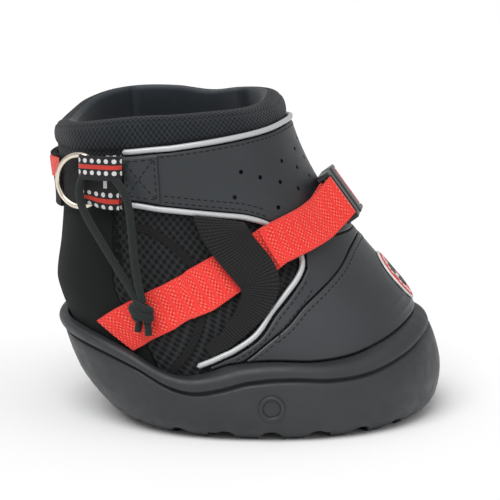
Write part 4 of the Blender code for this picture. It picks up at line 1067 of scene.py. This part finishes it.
def makeBadge():
    thick = badgeSettings["thickness"]
    low = layers["leatherTop"] + boot["fitGap"]
    base = low + 0.7 * thick
    radii, shares = zip(*badgePlate)
    points = badgePoints(radii, low + thick * np.array(shares), fullTurn(96))
    addPiece("badgePlate", gridMesh("badgePlate", points), "white", "badge_base", sharp=45)
    radii, rises = zip(*badgeRing)
    points = badgePoints(radii, base + np.array(rises), fullTurn(96))
    addPiece("badgeRing", gridMesh("badgeRing", points, kind="torus"), "red", "badge_ring",
             sharp=45)
    for name, finish, inner, outer, half, count, bottom, top, turns in badgeArcs:
        shape = bmesh.new()
        for turn in turns:
            points = badgePoints((inner, outer, outer, inner), base + np.array((bottom, bottom, top, top)),
                                 np.radians(np.linspace(turn - half, turn + half, count)))
            addGrid(shape, points, kind="panel")
        addPiece(name, meshFrom(name, shape), finish, "", sharp=45)


makeBadge()
print("badge made")


# Straps and bands

strapSettings = {"width": 0.0205, "thickness": 0.0014, "heelSlant": 0.50, "leavesLeft": 15.0,
                 "leavesRight": 30.0, "joint": 57.0, "jointGap": 1.5, "tailEdge": 61.5,
                 "bandSlant": -0.60, "tailSlant": -0.16, "bandWidth": 0.0195, "bandThickness": 0.0011,
                 "spacing": 0.0009, "foldLeft": 6.0, "foldRight": 4.0}
buckleSettings = {"angle": -5.0, "thickness": 0.0074, "bar": 0.0030, "seat": 0.0016,
                  "socketBar": 0.0125, "clipBar": -0.0173}


def ribbonPath(angles, heights, offsets, widths=1.0):
    return np.stack(np.broadcast_arrays(angles, heights, offsets, widths), axis=-1)


def ribbonMiddle(path, across, slantStart=0.0):
    # rows of points across a strap that lies on the boot: angle, height, offset, width share
    angles, heights, offsets, widths = path.T
    count = len(path)
    point, along, up, normal = surfaceFrames(upperSections, angles, heights)
    index = np.arange(count)
    before, after = np.maximum(index - 1, 0), np.minimum(index + 1, count - 1)
    ahead = unit(along * (angles[after] - angles[before])[:, None]
                 + up * (heights[after] - heights[before])[:, None])
    slant = slantStart * np.maximum(0.0, 1 - 4 * index / (count - 1))
    way = np.cross(normal, ahead) + ahead * slant[:, None]
    # the step to the side as degrees and height
    alongUp, alongWay, upWay = np.sum(along * up, -1), np.sum(along * way, -1), np.sum(up * way, -1)
    alongSquare, upSquare = np.sum(along * along, -1), np.sum(up * up, -1)
    side = across * (widths / (alongSquare * upSquare - alongUp ** 2))[:, None]
    return layerPoints(angles[:, None] + (alongWay * upSquare - upWay * alongUp)[:, None] * side,
                       heights[:, None] + (upWay * alongSquare - alongWay * alongUp)[:, None] * side,
                       np.broadcast_to(offsets[:, None], side.shape))


def strapPath(side, start, stop, count, raiseBy=0.0):
    # the table runs from the heel to the toe, so it is read from its far end
    table = [(-angle, share, lift) for angle, share, lift in strapLine]
    at = np.linspace(-start, -stop, count)
    return ribbonPath(-side * at, smoothCurve(table, at, 1) * boot["height"],
                      layers["strapLow"] + smoothCurve(table, at, 2) * layers["strapLift"] + raiseBy)


def strapRows(side, start, stop, count, across, raiseBy=0.0, slant=0.0):
    path = strapPath(side, start, stop, count, raiseBy + strapSettings["thickness"] / 2)
    return ribbonMiddle(path, across, side * slant)


def barRows(bar, side, turns, across, leads=(-1, 1)):
    # rows round one of the buckle's bars, with a straight lead below it, above it or both
    b, thick = buckleSettings, strapSettings["thickness"]
    point, along, up, normal = surfaceFrames(upperSections, b["angle"], strapLine[-1][1] * boot["height"])
    ahead = unit(along)
    place = placeFrame(point + normal * (layers["leatherTop"] + b["seat"]), ahead,
                       unit(np.cross(normal, ahead)), normal)
    radius, reach = b["bar"] / 2 + boot["fitGap"] + thick / 2, b["bar"] / 2 + thick
    spots = [(-radius * math.sin(turn), -radius * math.cos(turn)) for turn in np.radians(turns)]
    spots = ([(reach, -radius)] * (-1 in leads)) + spots + ([(reach, radius)] * (1 in leads))
    return inFrame(place, [[(b[bar] + side * out, y, b["thickness"] / 2 + rise) for y in across]
                           for out, rise in spots])


def evenRows(*groups):
    # groups of rows after one another, turned the same way and evenly spaced along the strip
    rows = []
    for row in np.concatenate(groups):
        turned = rows and np.linalg.norm(row[0] - rows[-1][0]) > np.linalg.norm(row[-1] - rows[-1][0])
        rows.append(row[::-1] if turned else row)
    rows = np.array(rows)
    lengths = evenLengths(rows[:, rows.shape[1] // 2])
    at = np.linspace(0, lengths[-1], max(4, int(lengths[-1] / strapSettings["spacing"])))
    return np.stack([readAlong(at, lengths, rows[:, j]) for j in range(rows.shape[1])], axis=1)


def makeStraps():
    s = strapSettings
    across = denseAcross(s["width"], s["thickness"])
    over = s["thickness"] + 2 * boot["fitGap"]
    heel, tail, leaves = strapLine[0][0], s["tailEdge"], s["leavesRight"]
    sewn = evenRows(strapRows(1, heel, s["leavesLeft"], 150, across, 0.0, s["heelSlant"]),
                    barRows("socketBar", 1, np.linspace(0, 180, 13), across),
                    strapRows(1, tail, s["leavesLeft"] + s["foldLeft"], 60, across, over)[::-1])
    lower = strapRows(-1, heel, s["joint"] + s["jointGap"], 90, across, 0.0, s["heelSlant"])
    front = evenRows(strapRows(-1, s["joint"], leaves, 50, across),
                     barRows("clipBar", -1, (0, 8), across, (-1,)))
    loose = evenRows(barRows("clipBar", -1, np.linspace(100, 180, 8), across, (1,)),
                     strapRows(-1, tail, leaves + s["foldRight"], 60, across, over, s["tailSlant"])[::-1])
    for name, rows, node, body in (
        ("strapFar", sewn, "strap_left", "boot"), ("strapNearLower", lower, "lower_strap_right", "boot"),
        ("strapNearFront", front, "front_strap_right", "clip"),
        ("strapNearTail", loose, "strap_tail", "tail"),
    ):
        webbingPiece(name, rows, s["thickness"], "redWebbing", node, body,
                     turned=rows is not sewn)


def makeBands():
    s = strapSettings
    across = denseAcross(s["bandWidth"], s["bandThickness"])
    stations = [(i, *row) for i, row in enumerate(bandLine)]
    at = np.linspace(0, len(stations) - 1, 90)
    angle, share, width, lift = (smoothCurve(stations, at, column) for column in range(1, 5))
    for side, name, node in ((-1, "sideBandNear", "side_band_right"), (1, "sideBandFar", "side_band_left")):
        path = ribbonPath(side * angle, share * boot["height"],
                          layers["bandLow"] + lift * layers["bandLift"] + s["bandThickness"] / 2, width)
        for i in range(60):
            path[1:-1, :2] = 0.25 * path[:-2, :2] + 0.5 * path[1:-1, :2] + 0.25 * path[2:, :2]
        webbingPiece(name, ribbonMiddle(path, across, side * s["bandSlant"]), s["bandThickness"], "band",
                     node)


makeStraps()
makeBands()
print("straps made")


# Buckle: finer parts with moulded, rounded edges

bucklePieces = (
    ("buckleSocket", "buckle_socket", "boot", 0.0006), ("buckleClip", "buckle_clip", "clip", 0.0004),
    ("prongUpper", "buckle_prong_upper", "prong_upper", 0.0005),
    ("prongLower", "buckle_prong_lower", "prong_lower", 0.0005),
)


def makeBuckle():
    for name, node, body, radius in bucklePieces:
        shape = bmesh.new()
        shape.from_mesh(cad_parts[node].data)
        bmesh.ops.remove_doubles(shape, verts=shape.verts, dist=0.00001)
        bmesh.ops.dissolve_limit(shape, angle_limit=math.radians(3), verts=shape.verts, edges=shape.edges)
        piece = addPiece(name, meshFrom(name, shape, closed=False), "plastic", node, body)
        bevel = piece.modifiers.new("edges", "BEVEL")
        bevel.width, bevel.segments, bevel.limit_method = radius, 3, "ANGLE"
        bevel.angle_limit = math.radians(35)
        applyModifiers(piece)
        piece.data.shade_smooth()
        piece.data.set_sharp_from_angle(angle=math.radians(40))


makeBuckle()
print("buckle made")


# Rear closure

rearSettings = {"ringRadius": 0.0130, "ringWire": 0.0013, "strapWidth": 0.024, "strapThickness": 0.0014,
                "share": 0.745, "nearStart": 134.0, "nearEnd": 172.0, "farEnd": 208.0,
                "pullHeight": 0.009, "pullLength": 0.010, "patchSpan": 14.0, "patchInset": 0.0008,
                "patchThickness": 0.0011}


def makeTab():
    t = tabSettings
    place = tabFrame()
    middle, radius = t["foldMiddle"], t["foldRadius"]
    fold, seam = t["length"] / 2 - radius, -t["length"] / 2
    # along, out and width share, from the seam round the fold and back
    route = [(seam, middle - radius, 1.0), (0.45 * seam, middle - radius, 1.0),
             (0.1 * fold, middle - radius, 0.95), (0.6 * fold, middle - radius, 0.85)]
    route += [(fold + radius * math.sin(turn), middle - radius * math.cos(turn), 0.81)
              for turn in np.linspace(0, math.pi, 17)]
    route += [(0.6 * fold, middle + radius, 0.85), (0.1 * fold, middle + radius, 0.95),
              (0.45 * seam, middle + radius, 1.0), (0.8 * seam, middle + 0.75 * radius, 1.0),
              (seam, middle + 0.3 * radius, 1.0)]
    rows = np.array([[(u, share * width * t["width"], w) for share in np.linspace(-0.5, 0.5, 25)]
                     for u, w, width in route])
    rows = inFrame(place, rows)
    lengths = evenLengths(rows[:, 12])
    at = np.linspace(0, lengths[-1], max(4, int(lengths[-1] / 0.0005)))
    rows = np.stack([readAlong(at, lengths, rows[:, j]) for j in range(25)], axis=1)
    webbingPiece("ringTab", rows, t["thickness"], "tape", "woven_tab", "tab", turned=False)
    # the upper half of the tape stands up over the cord's two ends
    rows = [[(t["keeperMiddle"] - t["keeperHalf"] * turn, v,
              t["keeperFoot"] + t["keeperArch"] * math.sqrt(max(0.0, 1 - abs(turn) ** 5)))
             for v in np.linspace(t["keeperLow"], t["keeperHigh"], 15)] for turn in np.linspace(-1, 1, 41)]
    webbingPiece("tabKeeper", inFrame(place, rows), t["keeperThickness"], "tape", "", "tab",
                 shift=t["keeperShift"])


def makeRing():
    r, t = rearSettings, tabSettings
    place = tabFrame()
    centre = t["length"] / 2 - r["ringWire"] - t["thickness"] + 0.35 * r["ringRadius"]
    turns, radius = fullTurn(128), r["ringRadius"] - r["ringWire"]
    loop = np.stack((centre + radius * np.cos(turns), radius * np.sin(turns),
                     np.full(turns.shape, t["foldMiddle"])), axis=-1)
    tube = tubeGrid(inFrame(place, loop), r["ringWire"], 20, np.broadcast_to(place[:3, 2], loop.shape), True)
    addPiece("pullRing", gridMesh("pullRing", *tube), "ring", "rear_ring", "ring")


def makeRearStraps():
    r = rearSettings
    height, low, thick = r["share"] * boot["height"], boot["fitGap"], r["strapThickness"]
    thin, over, wide = tabSettings["thickness"], low + thick + boot["fitGap"], r["strapWidth"]
    first = leatherSettings["bandLeft"] + 2.0
    near, far = np.linspace(r["nearEnd"], 360.0 - r["nearStart"], 60), np.linspace(first, r["farEnd"], 80)
    share = np.clip((far - first) / (r["nearEnd"] - first - 6.0), 0.0, 1.0)
    climb = low + (over - low) * share * share * (3 - 2 * share)
    top = height + wide / 2 - r["pullHeight"] / 2 - boot["seamGap"]
    point, along, up, normal = surfaceFrames(upperSections, r["farEnd"], top)
    pull = r["farEnd"] + r["pullLength"] / np.linalg.norm(along) * np.linspace(-0.6, 0.4, 16)
    for name, angles, z, offset, width, layer, finish, node, slot, body in (
        ("rearStrapNear", near, height, low, wide, thick, "webbing", "rear_strap_near", "black_webbing",
         "boot"),
        ("rearStrapFar", far, height, climb, wide, thick, "webbing", "rear_strap_far", "black_webbing",
         "rear_strap"),
        ("pullTab", pull, top, over + thick + boot["fitGap"], r["pullHeight"], thin, "redWebbing",
         "pull_tab", "red_webbing", "rear_strap"),
    ):
        rows = ribbonMiddle(ribbonPath(angles, z, offset + layer / 2), denseAcross(width, layer))
        webbingPiece(name, rows, layer, finish, node, body)


def makePatches():
    r, s = rearSettings, leatherSettings
    for name, start, stop, node in (
        ("ringPatch", -s["bandRight"] + 0.5, -s["bandRight"] + r["patchSpan"], "ring_webbing"),
        ("strapPatch", s["bandLeft"] - r["patchSpan"], s["bandLeft"] - 0.5, "rear_strap_patch"),
    ):
        angles = np.linspace(start, stop, 24)
        low = beside(upperPiping, angles, clear) + r["patchInset"]
        high = beside(topPiping, angles, -clear) - r["patchInset"]
        panelPiece(name, angles, low, high, layers["leatherTop"] + boot["fitGap"], r["patchThickness"], 20,
                   "leather", node)


makeTab()
makeRing()
makeRearStraps()
makePatches()
print("rear closure made")


# Perforations and stitching

# places of the holes near the front, in millimetres, on the near side of the collar
holePlaces = (
    (-14, -49, 118), (-6, -44, 115), (3, -38, 112), (10, -30, 108), (2, -32, 121), (9, -24, 117),
    (14, -16, 112), (7, -18, 125), (12, -10, 120), (16, -2, 114), (8, -7, 129), (-17, -50, 107),
    (2, -42, 101),
)
stitchSettings = {"length": 0.0021, "gap": 0.0008, "radius": 0.00028, "inset": 0.0024, "second": 0.0052,
                  "toeInset": 0.0022, "boxInset": 0.0042, "holeRadius": 0.00105, "holeDepth": 0.0040,
                  "holeRise": 0.001,
                  # in degrees, and degrees per metre for the row along the lower piping
                  "heelStop": 15, "upperStop": 56, "lowerStart": 54, "lowerStop": 92, "lowerSlope": 900,
                  "toeStop": 76}
# how far along a stitch and how thick it is there
stitchProfile = ((-0.5, 0.25), (-0.36, 0.85), (0.0, 1.0), (0.36, 0.85), (0.5, 0.25))
# bars and a zigzag that hold the folded strap: share of its length and share of its width
strapStitches = (
    ((0.10, -0.34), (0.10, 0.34)),
    tuple((0.18 + 0.08 * i, (-0.30, 0.30)[i % 2]) for i in range(9)),
    ((0.90, -0.34), (0.90, 0.34)),
)
# the mesh's bound edge: places along the boot and heights, in millimetres
bindingPlaces = (
    (0, -68.0, 95.0), (1, -55.0, 92.5), (2, -43.0, 85.5), (3, -34.0, 76.0), (4, -30.0, 64.0),
    (5, -31.0, 51.0), (6, -36.0, 38.0), (7, -45.0, 26.5),
)
bindingSettings = {"width": 0.0034, "thickness": 0.0005, "side": 0.06, "count": 90}


def angleNear(x, y, height):
    angles = np.linspace(-180.0, 180.0, 2881)
    points = sectionPoints(upperSections, angles, height)
    return angles[np.argmin(np.hypot(points[:, 0] - x, points[:, 1] - y))]


def pierceCollar():
    s = stitchSettings
    shape = bmesh.new()
    for x, y, z in np.array(holePlaces) / 1000:
        for side in (1, -1):
            point, along, up, normal = surfaceFrames(upperSections, angleNear(x, side * y, z), z)
            addRod(shape, point + normal * s["holeRise"], normal, s["holeRadius"], s["holeDepth"], 16)
    cutWith(bpy.data.objects["collarBand"], "holeCutter", shape, 50)


def stitchRow(angles, heights, offset):
    return softened(*surfaceRow(angles, heights, offset), 0.0010, 1)


def stitchPiece(name, rows):
    # short capsules that lie along lines of points; each row is points and outward directions
    s = stitchSettings
    shape = bmesh.new()
    turns = fullTurn(6)[:, None]
    for points, outward in rows:
        lengths = evenLengths(points)
        count = max(1, int(lengths[-1] / (s["length"] + s["gap"])))
        for k in range(count):
            at = (k + 0.5) * lengths[-1] / count
            out = readAlong(at, lengths, outward)
            ahead = unit(readAlong(at + 0.001, lengths, points) - readAlong(at - 0.001, lengths, points))
            ring = unit(np.cross(ahead, out)) * np.cos(turns) + 0.7 * out * np.sin(turns)
            addGrid(shape, readAlong(at, lengths, points) + np.array([
                ahead * share * s["length"] + s["radius"] * (ring * size - out * 0.55 * (1 - size))
                for share, size in stitchProfile]))
    addPiece(name, meshFrom(name, shape), "thread", "")


def makeStitches():
    s, leather = stitchSettings, leatherSettings
    top = layers["leatherTop"] + 0.2 * s["radius"]
    angles = np.linspace(-leather["bandRight"] + 2, leather["bandLeft"] - 2, 300)
    rows = [stitchRow(angles, beside(topPiping, angles, -s["inset"] - 0.001), top)]
    for side, edge in ((-1, leather["bandRight"]), (1, leather["bandLeft"])):
        for distance in (s["inset"], s["second"]):
            angles = np.linspace(edge - s["heelStop"], s["upperStop"], 160)
            rows.append(stitchRow(side * angles, beside(upperPiping, angles, distance + 0.001), top))
            angles = np.linspace(s["lowerStart"], s["lowerStop"] - s["lowerSlope"] * distance, 120)
            rows.append(stitchRow(side * angles, beside(lowerPiping, angles, -distance - 0.0008), top))
    angles = np.linspace(-s["toeStop"], s["toeStop"], 360)
    rows.append(stitchRow(angles, lineHeight(toeSeam, angles) - s["toeInset"], top + 0.0001))
    stitchPiece("leatherStitches", rows)


def makeBoxStitches():
    # a box with an X in it at each end of the collar band
    s, leather = stitchSettings, leatherSettings
    rows = []
    height = layers["leatherTop"] + boot["fitGap"] + rearSettings["patchThickness"] + 0.2 * s["radius"]
    for ends in ((-leather["bandRight"] + 1.5, -leather["bandRight"] + 13.0),
                 (leather["bandLeft"] - 13.0, leather["bandLeft"] - 1.5)):
        corners = [(angle, float(beside(table, angle, distance))) for angle in ends
                   for table, distance in ((upperPiping, s["boxInset"]), (topPiping, -s["boxInset"]))]
        for i, first in enumerate(corners):
            for last in corners[i + 1:]:
                rows.append(stitchRow(*np.linspace(first, last, 24).T, height))
    stitchPiece("boxStitches", rows)


def makeStrapStitches():
    s, strap = stitchSettings, strapSettings
    count, columns = 80, 20
    over = 2 * strap["thickness"] + 2 * boot["fitGap"] + 0.2 * s["radius"]
    path = strapPath(1, strap["tailEdge"] - 3.0, strap["leavesLeft"] + 8.0, count, over)
    sheet = ribbonMiddle(path, np.linspace(-0.5, 0.5, columns + 1) * strap["width"])
    normals = gridNormals(sheet)
    normals *= np.sign(np.sum(normals * outwardFrom(sheet)))
    rows = []
    for corners in strapStitches:
        for first, last in zip(corners, corners[1:]):
            along, wide = np.linspace(first, last, 30).T
            along = np.rint(along * (count - 1)).astype(int)
            wide = np.rint((wide + 0.5) * columns).astype(int)
            rows.append(softened(sheet[along, wide], normals[along, wide], 0.0010))
    stitchPiece("strapStitches", rows)


def makeBindings():
    s = bindingSettings
    stations = np.linspace(0, bindingPlaces[-1][0], s["count"])
    x, z = (smoothCurve(bindingPlaces, stations, column) / 1000 for column in (1, 2))
    angles = np.array([abs(angleNear(a, s["side"], height)) for a, height in zip(x, z)])
    for side, name in ((-1, "meshBindingNear"), (1, "meshBindingFar")):
        path = ribbonPath(side * angles, z, layers["textileTop"] + s["thickness"] / 2)
        webbingPiece(name, ribbonMiddle(path, denseAcross(s["width"], s["thickness"], 5)), s["thickness"],
                     "webbing", "")


pierceCollar()
makeStitches()
makeBoxStitches()
makeStrapStitches()
makeBindings()
print("stitching made")
